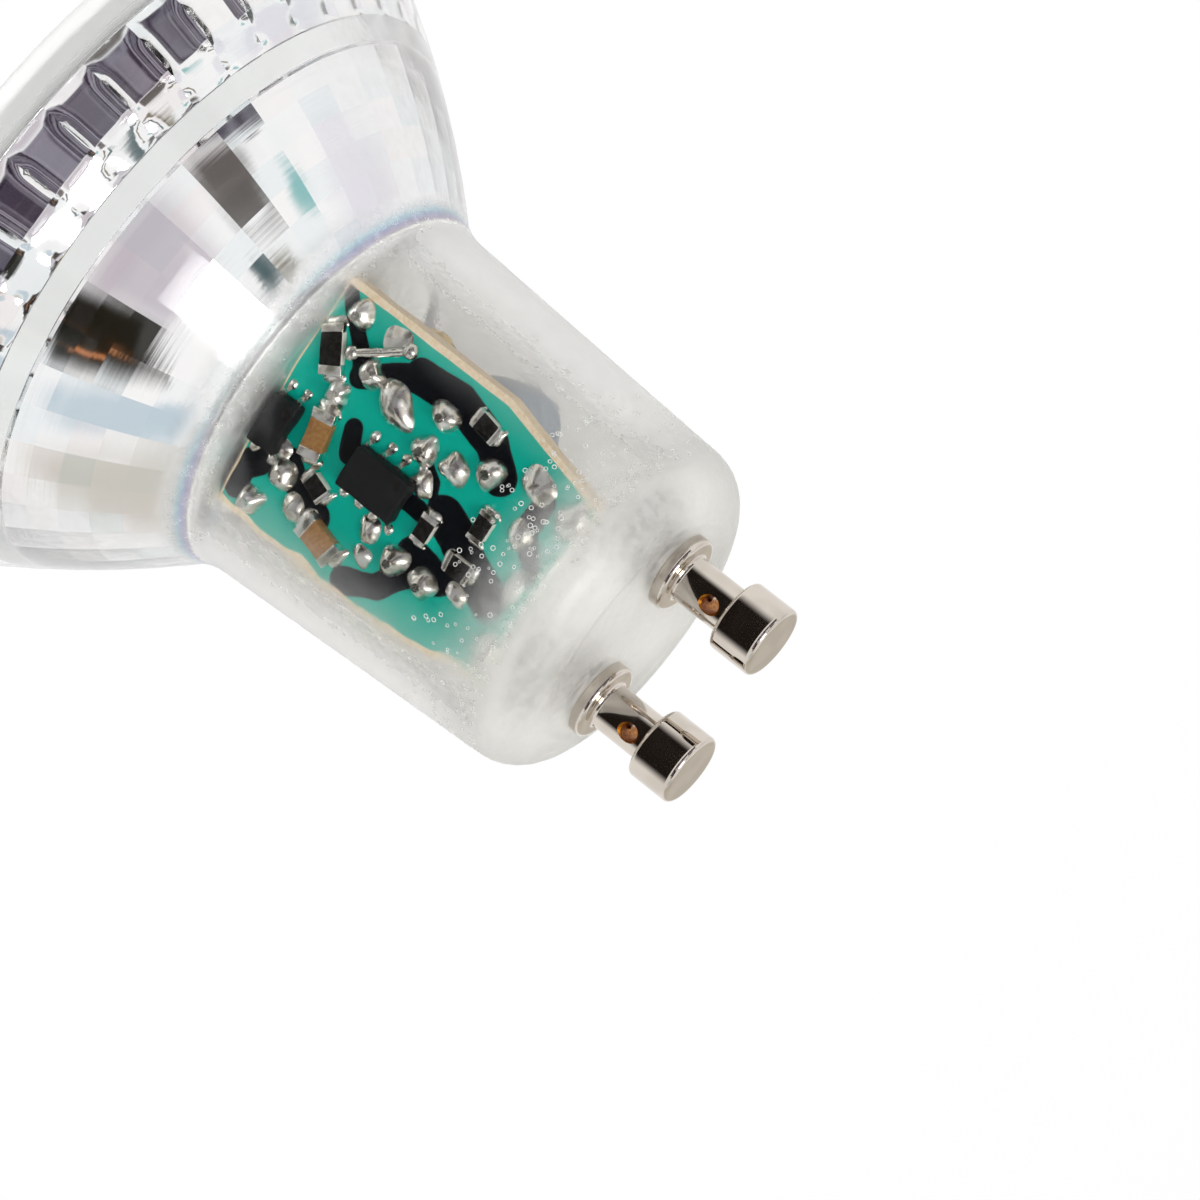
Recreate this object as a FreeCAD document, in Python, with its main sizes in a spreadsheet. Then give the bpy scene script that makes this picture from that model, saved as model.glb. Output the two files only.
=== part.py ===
"""Mains spotlight bulb: an all-glass reflector lamp with a two-pin twist-lock base.

The bulb stands on its front rim. The origin is the centre of that rim, Z runs up the lamp's axis to the
contact pins, and the pins stand at plus and minus X. All sizes are in millimetres.
"""

import FreeCAD
import Part
import Sketcher
import os

Vector = FreeCAD.Vector
Rotation = FreeCAD.Rotation

doc = FreeCAD.newDocument("spotlight_bulb")
sheet = doc.addObject("Spreadsheet::Sheet", "dims")

# Driving dimensions

SIZES = (
    # Pressed glass body
    ("rim_radius", 25.0, "outside radius of the front rim"),
    ("rim_height", 4.0, "straight band behind the front edge"),
    ("rim_round", 0.6, "rounding of the front edge"),
    ("cup_bulge_radius", 73.0, "radius of the cup's bulged outside"),
    ("root_radius", 13.35, "outside radius where cup and neck meet"),
    ("root_height", 20.3, "height where cup and neck meet"),
    ("root_round", 5.0, "hollow rounding between cup and neck"),
    ("neck_end_radius", 11.85, "outside radius of the neck at its end"),
    ("body_height", 46.0, "height of the glass, rim to end face"),
    ("shoulder_round", 3.2, "rounding of the end face's edge"),
    ("end_wall", 3.0, "glass behind the pins"),
    ("bore_end_radius", 9.95, "neck bore at the end wall"),
    ("bore_radius", 10.9, "neck bore at the ledge"),
    ("ledge_height", 19.3, "ledge that seats the heat sink"),
    # Reflector inside the cup
    ("facet_count", 40, "facets around the reflector"),
    ("bowl_rows", 6, "rows of facets in the deep bowl"),
    ("throat_radius", 12.0, "facet corners at the ledge"),
    ("bowl_radius", 19.3, "facet corners at the bowl's wide end"),
    ("bowl_bulge", 0.55, "outward swell of the bowl's section"),
    ("band_height", 9.6, "height of the plain band's upper edge"),
    ("band_width", 1.6, "plain band between bowl and flutes"),
    ("band_radius", 20.0, "inside radius of the plain band"),
    ("flute_radius", 20.7, "flute corners beside the band"),
    ("rim_wall", 2.1, "glass between the flutes' front corners and the rim's outside"),
    ("coat_thickness", 0.12, "mirror coating on the facets"),
    # Front lens
    ("lens_thickness", 2.2, "clear front lens"),
    ("lens_recess", 0.5, "lens below the front edge"),
    ("lens_overlap", 0.3, "lens seat beyond the flutes"),
    ("lens_clearance", 0.1, "gap round the lens"),
    ("lens_round", 0.4, "rounding of the lens's front edge"),
    # Heat sink and light source
    ("sink_thickness", 1.4, "aluminium disc in the throat"),
    ("sink_clearance", 0.4, "gap round the disc"),
    ("sink_hub_radius", 3.0, "raised hub in the disc's middle"),
    ("sink_hub_height", 1.2, "height of the hub over the disc"),
    ("slot_depth", 0.6, "slot that holds the driver board"),
    ("slot_clearance", 0.08, "gap on each side of the board in its slot"),
    ("led_board_radius", 8.6, "round board of the light source"),
    ("led_board_thickness", 1.0, "thickness of that board"),
    ("led_count", 6, "light emitters on the board"),
    ("led_ring", 5.0, "radius of the ring of emitters"),
    ("led_width", 2.8, "one emitter, across"),
    ("led_length", 3.5, "one emitter, along the ring"),
    ("led_height", 0.7, "one emitter, high"),
    # Driver board
    ("board_face", 5.2, "distance from the axis to the board's solder side"),
    ("board_thickness", 1.0, "thickness of the board"),
    ("board_foot_width", 17.0, "width of the board at the heat sink"),
    ("board_head_width", 13.2, "width of the board at the pins"),
    ("board_taper", 9.0, "length of the board's narrowing head"),
    ("board_headroom", 1.0, "gap between the board and the end wall"),
    # Leads and solder
    ("lead_radius", 0.3, "tinned lead"),
    ("lead_stub", 1.1, "lead beyond the solder side"),
    ("lead_clearance", 0.05, "gap round a lead in its hole"),
    ("bend_radius", 1.2, "bend of a lead"),
    ("solder_radius", 0.95, "solder joint"),
    ("part_standoff", 0.2, "gap between a rolled part and the board"),
    # Electrolytic capacitor, standing on the board
    ("cap_radius", 3.2, "capacitor can"),
    ("cap_height", 10.0, "length of the can"),
    ("cap_round", 0.8, "rounding of the can's closed end"),
    ("cap_x", -4.0, "place of the can across the board"),
    ("cap_z", 10.55, "the can above the heat sink"),
    ("cap_pitch", 2.5, "distance between its leads"),
    ("bung_height", 1.3, "rubber bung under the can"),
    ("bung_inset", 0.6, "bung inside the can's edge"),
    # Drum inductor, standing on the board
    ("coil_radius", 3.0, "flange of the ferrite drum"),
    ("coil_waist", 1.4, "waist of the drum"),
    ("coil_height", 8.6, "height of the drum"),
    ("coil_flange", 1.1, "thickness of a drum flange"),
    ("coil_cover", 0.3, "winding below the flange's edge"),
    ("coil_x", -3.3, "place of the drum across the board"),
    ("coil_z", 4.25, "the drum above the heat sink"),
    ("coil_pitch", 2.73, "distance between its pins"),
    ("coil_turn", 61.5, "turn of its pins from the lamp's axis, degrees"),
    # Film capacitor
    ("film_length", 11.0, "film capacitor box, along the board"),
    ("film_width", 4.2, "film capacitor box, across the board"),
    ("film_height", 7.6, "film capacitor box, off the board"),
    ("film_round", 0.6, "rounding of the box"),
    ("film_x", 4.2, "place of the box across the board"),
    ("film_z", 7.9, "the box above the heat sink"),
    ("film_pitch", 9.4, "distance between its leads"),
    # Fusible resistor, lying across the board
    ("fuse_radius", 1.1, "barrel of the resistor"),
    ("fuse_length", 5.6, "length of the barrel"),
    ("fuse_round", 0.4, "rounding of the barrel's ends"),
    ("fuse_z", 15.05, "the resistor above the heat sink"),
    ("fuse_pitch", 8.4, "distance between its leads"),
    # Surface-mounted parts on the solder side
    ("chip_gap", 0.02, "solder film under a surface-mounted part"),
    ("bridge_x", 1.6, "rectifier, across"),
    ("bridge_z", 1.3, "rectifier, above the heat sink"),
    ("bridge_width", 3.6, "rectifier body, across"),
    ("bridge_length", 2.2, "rectifier body, up"),
    ("driver_x", 0.6, "driver chip, across"),
    ("driver_z", 9.2, "driver chip, above the heat sink"),
    ("driver_width", 3.0, "driver chip body, across"),
    ("driver_length", 4.6, "driver chip body, up"),
    ("package_height", 1.3, "thickness of a chip package"),
    ("package_lift", 0.15, "package above the board"),
    ("leg_length", 0.8, "leg beyond the package"),
    ("leg_width", 0.42, "width of a leg"),
    ("leg_height", 0.55, "height of a leg"),
    ("leg_pitch", 1.27, "distance between legs"),
    ("bridge_legs", 2, "legs on each side of the rectifier"),
    ("driver_legs", 4, "legs on each side of the driver chip"),
    ("resistor_length", 2.0, "chip resistor, long"),
    ("resistor_width", 1.25, "chip resistor, wide"),
    ("resistor_height", 0.55, "chip resistor, high"),
    ("ceramic_length", 3.2, "chip capacitor, long"),
    ("ceramic_width", 1.6, "chip capacitor, wide"),
    ("ceramic_height", 0.8, "chip capacitor, high"),
    ("sense_length", 3.2, "large chip resistor, long"),
    ("sense_width", 1.6, "large chip resistor, wide"),
    ("sense_height", 0.6, "large chip resistor, high"),
    # Wire link on the solder side
    ("link_radius", 0.28, "wire of the link"),
    ("link_ball", 0.5, "ball of solder at its ends"),
    ("link_length", 4.0, "distance between its ends"),
    ("link_x", -4.9, "lower end, across"),
    ("link_z", 3.2, "lower end, above the heat sink"),
    ("link_tilt", 35.0, "lean of the link from the lamp's axis, degrees"),
    # Contact pins
    ("pin_pitch", 10.0, "distance between the pins"),
    ("pin_length", 8.0, "pin beyond the glass"),
    ("pin_shank_radius", 1.6, "shank of a pin"),
    ("pin_flange_radius", 2.64, "flange on the glass"),
    ("pin_flange", 0.93, "thickness of that flange"),
    ("pin_head_radius", 2.5, "head of a pin"),
    ("pin_head", 3.2, "length of the head"),
    ("pin_round", 0.3, "rounding of the head and the flange"),
    ("pin_fillet", 0.25, "hollow rounding between shank and flange"),
    ("pin_bore_radius", 0.95, "bore of a pin"),
    ("pin_cap", 1.6, "solid end of the head"),
    ("pin_clearance", 0.06, "gap round a pin in the glass"),
    ("pin_rivet_radius", 2.2, "rolled inner end of a pin"),
    ("pin_rivet", 0.4, "thickness of the rolled end"),
    ("vent_radius", 0.6, "cross hole through the shank"),
    ("vent_height", 3.6, "cross hole above the glass"),
    # Lead places
    ("mains_drop", 1.3, "mains leads below the board's upper edge"),
    ("mains_reach", 3.2, "mains lead up its pin, beyond the glass"),
    ("led_lead_x", 7.0, "light-source leads, across"),
    ("led_lead_y", 2.6, "light-source leads behind the board"),
    ("led_lead_turn", 2.3, "where those leads meet the board, above the heat sink"),
)

# Chips on the solder side: across, above the heat sink, and turn in the board's plane
RESISTOR_PLACES = (
    (3.4, 5.7, 20.0),
    (1.2, 13.3, 90.0),
    (-6.4, 13.3, 10.0),
    (-1.2, 16.5, 90.0),
    (1.8, 16.6, 0.0),
)
CERAMIC_PLACES = ((0.6, 4.0, 80.0), (6.0, 7.7, 15.0))
SENSE_PLACES = ((-4.3, 1.8, 59.0),)

# The sheet's cells

row = 0


def add_cell(alias, number, words):
    """One row of the sheet: its words, and its number under an alias."""
    global row
    row += 1
    sheet.set(f"A{row}", words)
    sheet.set(f"B{row}", repr(number))
    sheet.setAlias(f"B{row}", alias)


for size_row in SIZES:
    add_cell(*size_row)
for kind, places in (("resistor", RESISTOR_PLACES), ("ceramic", CERAMIC_PLACES), ("sense", SENSE_PLACES)):
    for number, (across, up, turn) in enumerate(places):
        add_cell(f"{kind}_{number}_across", across, f"{kind} {number}, across")
        add_cell(f"{kind}_{number}_up", up, f"{kind} {number}, above the heat sink")
        add_cell(f"{kind}_{number}_turn", turn, f"{kind} {number}, turn in degrees")
doc.recompute()

# Places that several pieces share

LENS_SEAT = "(dims.lens_recess + dims.lens_thickness)"
FLUTE_FRONT_RADIUS = "(dims.rim_radius - dims.rim_wall)"
LENS_POCKET_RADIUS = f"({FLUTE_FRONT_RADIUS} + dims.lens_overlap)"
BAND_FOOT = "(dims.band_height - dims.band_width)"
BORE_END = "(dims.body_height - dims.end_wall)"
SINK_FOOT = "(dims.ledge_height - dims.sink_thickness)"
LED_BOARD_FOOT = f"({SINK_FOOT} - dims.led_board_thickness)"
BOARD_FACE = "(-dims.board_face)"
BOARD_BACK = "(-dims.board_face + dims.board_thickness)"
BOARD_FOOT = "(dims.ledge_height - dims.slot_depth)"
BOARD_HEAD = f"({BORE_END} - dims.board_headroom)"
BOARD_SHOULDER = f"({BOARD_HEAD} - dims.board_taper)"
PIN_TOP = "(dims.body_height + dims.pin_length)"
HOLE_RADIUS = "(dims.lead_radius + dims.lead_clearance)"

# Building steps


def value(expression):
    """The number that an expression on the sheet gives now."""
    return float(sheet.evalExpression(expression))


def bind(item, **cells):
    """Ties an object's properties to expressions on the sheet."""
    for name, expression in cells.items():
        item.setExpression(name, expression)
    return item


def place(item, x="0", y="0", z="0", turn=None):
    """Puts an object at a point given by expressions, with a fixed turn."""
    item.Placement = FreeCAD.Placement(Vector(), turn or Rotation())
    for axis, expression in (("x", x), ("y", y), ("z", z)):
        item.setExpression(f"Placement.Base.{axis}", expression)
    return item


# Edges count as lying at a place when they are this near to it
NEAR = 1e-4

UP = Rotation()
TO_FRONT = Rotation(Vector(1, 0, 0), 90)
TO_BACK = Rotation(Vector(1, 0, 0), -90)
TO_RIGHT = Rotation(Vector(0, 1, 0), 90)
TO_LEFT = Rotation(Vector(0, 1, 0), -90)
DOWN = Rotation(Vector(0, 1, 0), 180)


def cylinder(name, radius, height, x="0", y="0", z="0", turn=UP):
    """A round bar that starts at a point and runs along the turned Z axis."""
    bar = doc.addObject("Part::Cylinder", name)
    bind(bar, Radius=radius, Height=height)
    return place(bar, x, y, z, turn)


def block(name, length, width, height, x="0", y="0", z="0"):
    """A box whose lowest corner is at a point."""
    item = doc.addObject("Part::Box", name)
    bind(item, Length=length, Width=width, Height=height)
    return place(item, x, y, z)


def joined(name, pieces):
    """One solid from pieces that run into each other."""
    item = doc.addObject("Part::MultiFuse", name)
    item.Shapes = pieces
    item.Refine = True
    return item


def group(name, pieces):
    """Separate solids that share one node."""
    item = doc.addObject("Part::Compound", name)
    item.Links = pieces
    return item


def cut(name, base, tools):
    """A solid less one or more tools."""
    item = doc.addObject("Part::Cut", name)
    item.Base = base
    item.Tool = tools[0] if len(tools) == 1 else group(f"{name}_tools", tools)
    return item


def rounded(name, base, radius, chosen):
    """A solid whose edges that pass the test are rounded."""
    doc.recompute()
    edges = [number for number, edge in enumerate(base.Shape.Edges, 1) if chosen(edge)]
    size = value(radius)
    item = doc.addObject("Part::Fillet", name)
    item.Base = base
    item.Edges = [(number, size, size) for number in edges]
    return item


def arc_through(start, end, radius):
    """An arc of a given radius from one corner to the next, swelling away from the axis."""
    chord = end - start
    across = Vector(chord.y, -chord.x, 0)
    if across.x < 0:
        across = -across
    sagitta = radius - (radius**2 - chord.Length**2 / 4) ** 0.5
    return Part.Arc(start, (start + end) / 2 + across.normalize() * sagitta, end)


def turned_body(name, corners, swell=None):
    """A body turned about Z from corners (radius, height); swell is (corner number, radius) of one arc."""
    body = doc.addObject("PartDesign::Body", name)
    plane = next(item for item in body.Origin.OriginFeatures if item.Role == "XZ_Plane")
    sketch = body.newObject("Sketcher::SketchObject", f"{name}_section")
    sketch.AttachmentSupport = (plane, "")
    sketch.MapMode = "FlatFace"
    points = [Vector(value(radius), value(height), 0) for radius, height in corners]
    ends = []
    for number, start in enumerate(points):
        end = points[(number + 1) % len(points)]
        if swell and swell[0] == number:
            edge = sketch.addGeometry(arc_through(start, end, value(swell[1])))
            forward = (sketch.getPoint(edge, 1) - start).Length < (sketch.getPoint(edge, 2) - start).Length
            curve = sketch.addConstraint(Sketcher.Constraint("Radius", edge, value(swell[1])))
            sketch.setExpression(f"Constraints[{curve}]", swell[1])
        else:
            edge = sketch.addGeometry(Part.LineSegment(start, end))
            forward = True
        ends.append((edge, 1, 2) if forward else (edge, 2, 1))
    for number, (edge, first, last) in enumerate(ends):
        after, after_first, _ = ends[(number + 1) % len(ends)]
        sketch.addConstraint(Sketcher.Constraint("Coincident", edge, last, after, after_first))
        pinned = zip(("DistanceX", "DistanceY"), (-2, -1), corners[number], points[number])
        for kind, axis, expression, number_now in pinned:
            if expression == "0":
                sketch.addConstraint(Sketcher.Constraint("PointOnObject", edge, first, axis))
            else:
                datum = Sketcher.Constraint(kind, -1, 1, edge, first, number_now)
                sketch.setExpression(f"Constraints[{sketch.addConstraint(datum)}]", expression)
    turn = body.newObject("PartDesign::Revolution", f"{name}_turn")
    turn.Profile = sketch
    turn.ReferenceAxis = (sketch, ["V_Axis"])
    turn.Angle = 360
    doc.recompute()
    return body


def round_rings(body, name, radius, rings):
    """Rounds a body's circular edges at the given (radius, height) corners."""
    doc.recompute()
    wanted = [(value(ring), value(height)) for ring, height in rings]
    base = body.Tip
    found = []
    for number, edge in enumerate(base.Shape.Edges, 1):
        if isinstance(edge.Curve, Part.Circle):
            here = (edge.Curve.Radius, edge.Curve.Center.z)
            if any(abs(here[0] - ring) < NEAR and abs(here[1] - height) < NEAR for ring, height in wanted):
                found.append(f"Edge{number}")
    fillet = body.newObject("PartDesign::Fillet", name)
    fillet.Base = (base, found)
    bind(fillet, Radius=radius)
    doc.recompute()


def facet_stack(name, rings):
    """A many-sided void: regular polygons at (corner radius, height), joined by flat facets."""
    sections = []
    for number, (radius, height) in enumerate(rings):
        polygon = doc.addObject("Part::RegularPolygon", f"{name}_{number}")
        bind(polygon, Polygon="dims.facet_count", Circumradius=radius)
        sections.append(place(polygon, z=height))
    loft = doc.addObject("Part::Loft", name)
    loft.Sections = sections
    loft.Solid = True
    loft.Ruled = True
    return loft


def bent_lead(name, run, drop, x, y, z, turn=UP):
    """A lead with one bend at a point: it runs along the turned Z axis and drops towards minus Y."""
    bend = "dims.bend_radius"
    torus = doc.addObject("Part::Torus", f"{name}_bend")
    bind(torus, Radius1=bend, Radius2="dims.lead_radius")
    torus.Angle3 = 90
    quarter = Rotation(Vector(0, 1, 0), Vector(0, 0, -1), Vector(-1, 0, 0), "XYZ")
    place(torus, y=f"-{bend}", z=bend, turn=quarter)
    straight = cylinder(f"{name}_run", "dims.lead_radius", f"{run} - {bend}", z=bend)
    stub = cylinder(f"{name}_drop", "dims.lead_radius", f"{drop} - {bend}", y=f"-{bend}", turn=TO_FRONT)
    return place(joined(name, [straight, torus, stub]), x, y, z, turn)


# Mirror facets: rows of flat facets in the bowl, long flutes in front of the plain band


def bowl_rings(inset):
    """The bowl's polygons from the plain band up to the throat."""
    rows = int(value("dims.bowl_rows"))
    rings = []
    for step in range(rows + 1):
        share = f"{step}/{rows}"
        swell = f"4*dims.bowl_bulge*{share}*(1 - {share})"
        radius = f"dims.bowl_radius + (dims.throat_radius - dims.bowl_radius)*{share} + {swell} - {inset}"
        height = f"dims.band_height + (dims.ledge_height - dims.band_height)*{share}"
        rings.append((radius, height))
    return rings


def flute_rings(inset):
    """The flutes' polygons from the lens seat up to the plain band."""
    return [
        (f"{FLUTE_FRONT_RADIUS} - {inset}", LENS_SEAT),
        (f"dims.flute_radius - {inset}", BAND_FOOT),
    ]


nodes = []

# Glass body: pressed cup and neck in one piece, with the reflector and two pin holes

blank = turned_body(
    "glass_blank",
    [
        ("0", "0"),
        ("dims.rim_radius", "0"),
        ("dims.rim_radius", "dims.rim_height"),
        ("dims.root_radius", "dims.root_height"),
        ("dims.neck_end_radius", "dims.body_height"),
        ("0", "dims.body_height"),
        ("0", BORE_END),
        ("dims.bore_end_radius", BORE_END),
        ("dims.bore_radius", "dims.ledge_height"),
        ("0", "dims.ledge_height"),
    ],
    swell=(2, "dims.cup_bulge_radius"),
)
round_rings(blank, "glass_root", "dims.root_round", [("dims.root_radius", "dims.root_height")])
round_rings(blank, "glass_shoulder", "dims.shoulder_round", [("dims.neck_end_radius", "dims.body_height")])
round_rings(blank, "glass_rim", "dims.rim_round", [("dims.rim_radius", "0")])

band = doc.addObject("Part::Cone", "band_void")
bind(band, Radius1="dims.band_radius", Radius2="dims.bowl_radius", Height="dims.band_width")
place(band, z=BAND_FOOT)
pin_holes = [
    cylinder(
        f"pin_hole_{side}",
        "dims.pin_shank_radius + dims.pin_clearance",
        "dims.end_wall",
        x=f"{sign}*dims.pin_pitch/2",
        z=BORE_END,
    )
    for side, sign in (("left", -1), ("right", 1))
]
reflector_void = joined(
    "reflector_void",
    [
        facet_stack("bowl_void", bowl_rings("0")),
        band,
        facet_stack("flute_void", flute_rings("0")),
        cylinder("lens_pocket", LENS_POCKET_RADIUS, LENS_SEAT),
    ],
)
nodes.append(cut("glass_body", blank, [reflector_void, *pin_holes]))

# Mirror coating: a thin bright skin on the flutes and on the bowl, with the plain band left clear

coats = []
for zone, rings in (("bowl", bowl_rings), ("flute", flute_rings)):
    outside = facet_stack(f"{zone}_coat_outside", rings("0"))
    inside = facet_stack(f"{zone}_coat_inside", rings("dims.coat_thickness"))
    coats.append(cut(f"{zone}_coat", outside, [inside]))
nodes.append(group("mirror_coating", coats))

# Front lens, seated against the end of the flutes

LENS_RADIUS = f"({LENS_POCKET_RADIUS} - dims.lens_clearance)"
lens = turned_body(
    "front_lens",
    [
        ("0", "dims.lens_recess"),
        (LENS_RADIUS, "dims.lens_recess"),
        (LENS_RADIUS, LENS_SEAT),
        ("0", LENS_SEAT),
    ],
)
round_rings(lens, "front_lens_edge", "dims.lens_round", [(LENS_RADIUS, "dims.lens_recess")])
nodes.append(lens)

# Heat sink: an aluminium disc under the ledge, with a hub, a slot for the board and holes for two leads

SINK_RADIUS = "(dims.throat_radius - dims.coat_thickness - dims.sink_clearance)"
disc = turned_body(
    "sink_disc",
    [
        ("0", SINK_FOOT),
        (SINK_RADIUS, SINK_FOOT),
        (SINK_RADIUS, "dims.ledge_height"),
        ("dims.sink_hub_radius", "dims.ledge_height"),
        ("dims.sink_hub_radius", "dims.ledge_height + dims.sink_hub_height"),
        ("0", "dims.ledge_height + dims.sink_hub_height"),
    ],
)
SLOT_WIDTH = "(dims.board_foot_width + 2*dims.slot_clearance)"
slot = block(
    "sink_slot",
    SLOT_WIDTH,
    "dims.board_thickness + 2*dims.slot_clearance",
    "dims.slot_depth",
    x=f"-{SLOT_WIDTH}/2",
    y=f"{BOARD_FACE} - dims.slot_clearance",
    z=BOARD_FOOT,
)
LED_LEAD_Y = f"({BOARD_BACK} + dims.led_lead_y)"
SIDES = (("left", -1), ("right", 1))


def led_lead_holes(name, height, foot):
    """Two holes for the light source's leads."""
    return [
        cylinder(f"{name}_{side}", HOLE_RADIUS, height, x=f"{sign}*dims.led_lead_x", y=LED_LEAD_Y, z=foot)
        for side, sign in SIDES
    ]


nodes.append(cut("heat_sink", disc, [slot, *led_lead_holes("sink_hole", "dims.sink_thickness", SINK_FOOT)]))

# Light source: a round aluminium-core board and its ring of emitters, facing the lens

led_disc = cylinder("led_disc", "dims.led_board_radius", "dims.led_board_thickness", z=LED_BOARD_FOOT)
led_holes = led_lead_holes("led_board_hole", "dims.led_board_thickness", LED_BOARD_FOOT)
nodes.append(cut("led_board", led_disc, led_holes))

emitters = []
led_count = int(value("dims.led_count"))
for number in range(led_count):
    angle = f"({number}*360/{led_count})*1deg"
    near = "(dims.led_ring - dims.led_width/2)"
    half = "dims.led_length/2"
    emitter = block(f"emitter_{number}", "dims.led_width", "dims.led_length", "dims.led_height")
    emitter.Placement = FreeCAD.Placement(Vector(), Rotation(Vector(0, 0, 1), number * 360 / led_count))
    emitter.setExpression("Placement.Base.x", f"{near}*cos({angle}) + {half}*sin({angle})")
    emitter.setExpression("Placement.Base.y", f"{near}*sin({angle}) - {half}*cos({angle})")
    emitter.setExpression("Placement.Base.z", f"{LED_BOARD_FOOT} - dims.led_height")
    emitters.append(emitter)
nodes.append(group("led_emitters", emitters))

# Places across and up the board where leads go through it


def over_sink(rise):
    """A height given by its rise above the heat sink."""
    return f"(dims.ledge_height + {rise})"


CAP_Z = over_sink("dims.cap_z")
COIL_Z = over_sink("dims.coil_z")
FILM_Z = over_sink("dims.film_z")
FUSE_Z = over_sink("dims.fuse_z")
LED_TURN = over_sink("dims.led_lead_turn")
MAINS_TURN = f"({BOARD_HEAD} - dims.mains_drop)"
CAP_LEADS = [(f"dims.cap_x + {sign}*dims.cap_pitch/2", CAP_Z) for _, sign in SIDES]
COIL_LEADS = [
    (
        f"dims.coil_x + {sign}*dims.coil_pitch/2*sin(dims.coil_turn*1deg)",
        f"{COIL_Z} - {sign}*dims.coil_pitch/2*cos(dims.coil_turn*1deg)",
    )
    for _, sign in SIDES
]
FILM_LEADS = [("dims.film_x", f"{FILM_Z} + {sign}*dims.film_pitch/2") for _, sign in SIDES]
FUSE_LEADS = [(f"{sign}*dims.fuse_pitch/2", FUSE_Z) for _, sign in SIDES]
MAINS_LEADS = [(f"{sign}*dims.pin_pitch/2", MAINS_TURN) for _, sign in SIDES]
LED_LEADS = [(f"{sign}*dims.led_lead_x", LED_TURN) for _, sign in SIDES]
ALL_LEADS = CAP_LEADS + COIL_LEADS + FILM_LEADS + FUSE_LEADS + MAINS_LEADS + LED_LEADS

# Driver board: a plate that stands in the heat sink's slot and narrows at its head, drilled for every lead

board_foot = block(
    "board_foot",
    "dims.board_foot_width",
    "dims.board_thickness",
    f"{BOARD_SHOULDER} - {BOARD_FOOT}",
    x="-dims.board_foot_width/2",
    y=BOARD_FACE,
    z=BOARD_FOOT,
)
board_head = doc.addObject("Part::Wedge", "board_head")
bind(
    board_head,
    Xmin="-dims.board_foot_width/2",
    Xmax="dims.board_foot_width/2",
    X2min="-dims.board_head_width/2",
    X2max="dims.board_head_width/2",
    Ymax="dims.board_taper",
    Zmax="dims.board_thickness",
    Z2max="dims.board_thickness",
)
for edge in ("Ymin", "Zmin", "Z2min"):
    setattr(board_head, edge, 0)
place(board_head, y=BOARD_BACK, z=BOARD_SHOULDER, turn=TO_FRONT)
board_holes = [
    cylinder(f"board_hole_{number}", HOLE_RADIUS, "dims.board_thickness", x, BOARD_BACK, z, TO_FRONT)
    for number, (x, z) in enumerate(ALL_LEADS)
]
nodes.append(cut("driver_board", joined("board_plate", [board_foot, board_head]), board_holes))

# Electrolytic capacitor: a sleeved can standing off the board on a rubber bung

CAN_FOOT = f"({BOARD_BACK} + dims.bung_height)"
can = cylinder(
    "can_blank", "dims.cap_radius", "dims.cap_height", "dims.cap_x", CAN_FOOT, CAP_Z, TO_BACK
)
can_top = value(f"{CAN_FOOT} + dims.cap_height")
can_rounded = rounded(
    "electrolytic_capacitor",
    can,
    "dims.cap_round",
    lambda edge: isinstance(edge.Curve, Part.Circle) and abs(edge.Curve.Center.y - can_top) < NEAR,
)
nodes.append(can_rounded)
bung_disc = cylinder(
    "bung_disc",
    "dims.cap_radius - dims.bung_inset",
    "dims.bung_height",
    "dims.cap_x",
    BOARD_BACK,
    CAP_Z,
    TO_BACK,
)
bung_holes = [
    cylinder(f"bung_hole_{number}", HOLE_RADIUS, "dims.bung_height", x, BOARD_BACK, z, TO_BACK)
    for number, (x, z) in enumerate(CAP_LEADS)
]
nodes.append(cut("capacitor_bung", bung_disc, bung_holes))

# Drum inductor: a ferrite bobbin and the winding between its flanges

drum = turned_body(
    "inductor_core",
    [
        ("0", "0"),
        ("dims.coil_radius", "0"),
        ("dims.coil_radius", "dims.coil_flange"),
        ("dims.coil_waist", "dims.coil_flange"),
        ("dims.coil_waist", "dims.coil_height - dims.coil_flange"),
        ("dims.coil_radius", "dims.coil_height - dims.coil_flange"),
        ("dims.coil_radius", "dims.coil_height"),
        ("0", "dims.coil_height"),
    ],
)
winding = turned_body(
    "inductor_winding",
    [
        ("dims.coil_waist", "dims.coil_flange"),
        ("dims.coil_radius - dims.coil_cover", "dims.coil_flange"),
        ("dims.coil_radius - dims.coil_cover", "dims.coil_height - dims.coil_flange"),
        ("dims.coil_waist", "dims.coil_height - dims.coil_flange"),
    ],
)
for coil_piece in (drum, winding):
    nodes.append(place(coil_piece, "dims.coil_x", BOARD_BACK, COIL_Z, TO_BACK))

# Film capacitor: a dipped box on the back of the board

film_box = block(
    "film_box",
    "dims.film_width",
    "dims.film_height",
    "dims.film_length",
    "dims.film_x - dims.film_width/2",
    BOARD_BACK,
    f"{FILM_Z} - dims.film_length/2",
)
film_foot = value(BOARD_BACK)
nodes.append(
    rounded("film_capacitor", film_box, "dims.film_round", lambda edge: edge.BoundBox.YMax > film_foot + NEAR)
)

# Fusible resistor: a barrel that lies across the board between two bent leads

FUSE_Y = f"({BOARD_BACK} + dims.part_standoff + dims.fuse_radius)"
FUSE_END = "-dims.fuse_length/2"
barrel = cylinder(
    "fuse_barrel", "dims.fuse_radius", "dims.fuse_length", FUSE_END, FUSE_Y, FUSE_Z, TO_RIGHT
)
nodes.append(
    rounded("fusible_resistor", barrel, "dims.fuse_round", lambda edge: isinstance(edge.Curve, Part.Circle))
)

# Component leads: straight ones under the standing parts, bent ones beside the resistor

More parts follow.
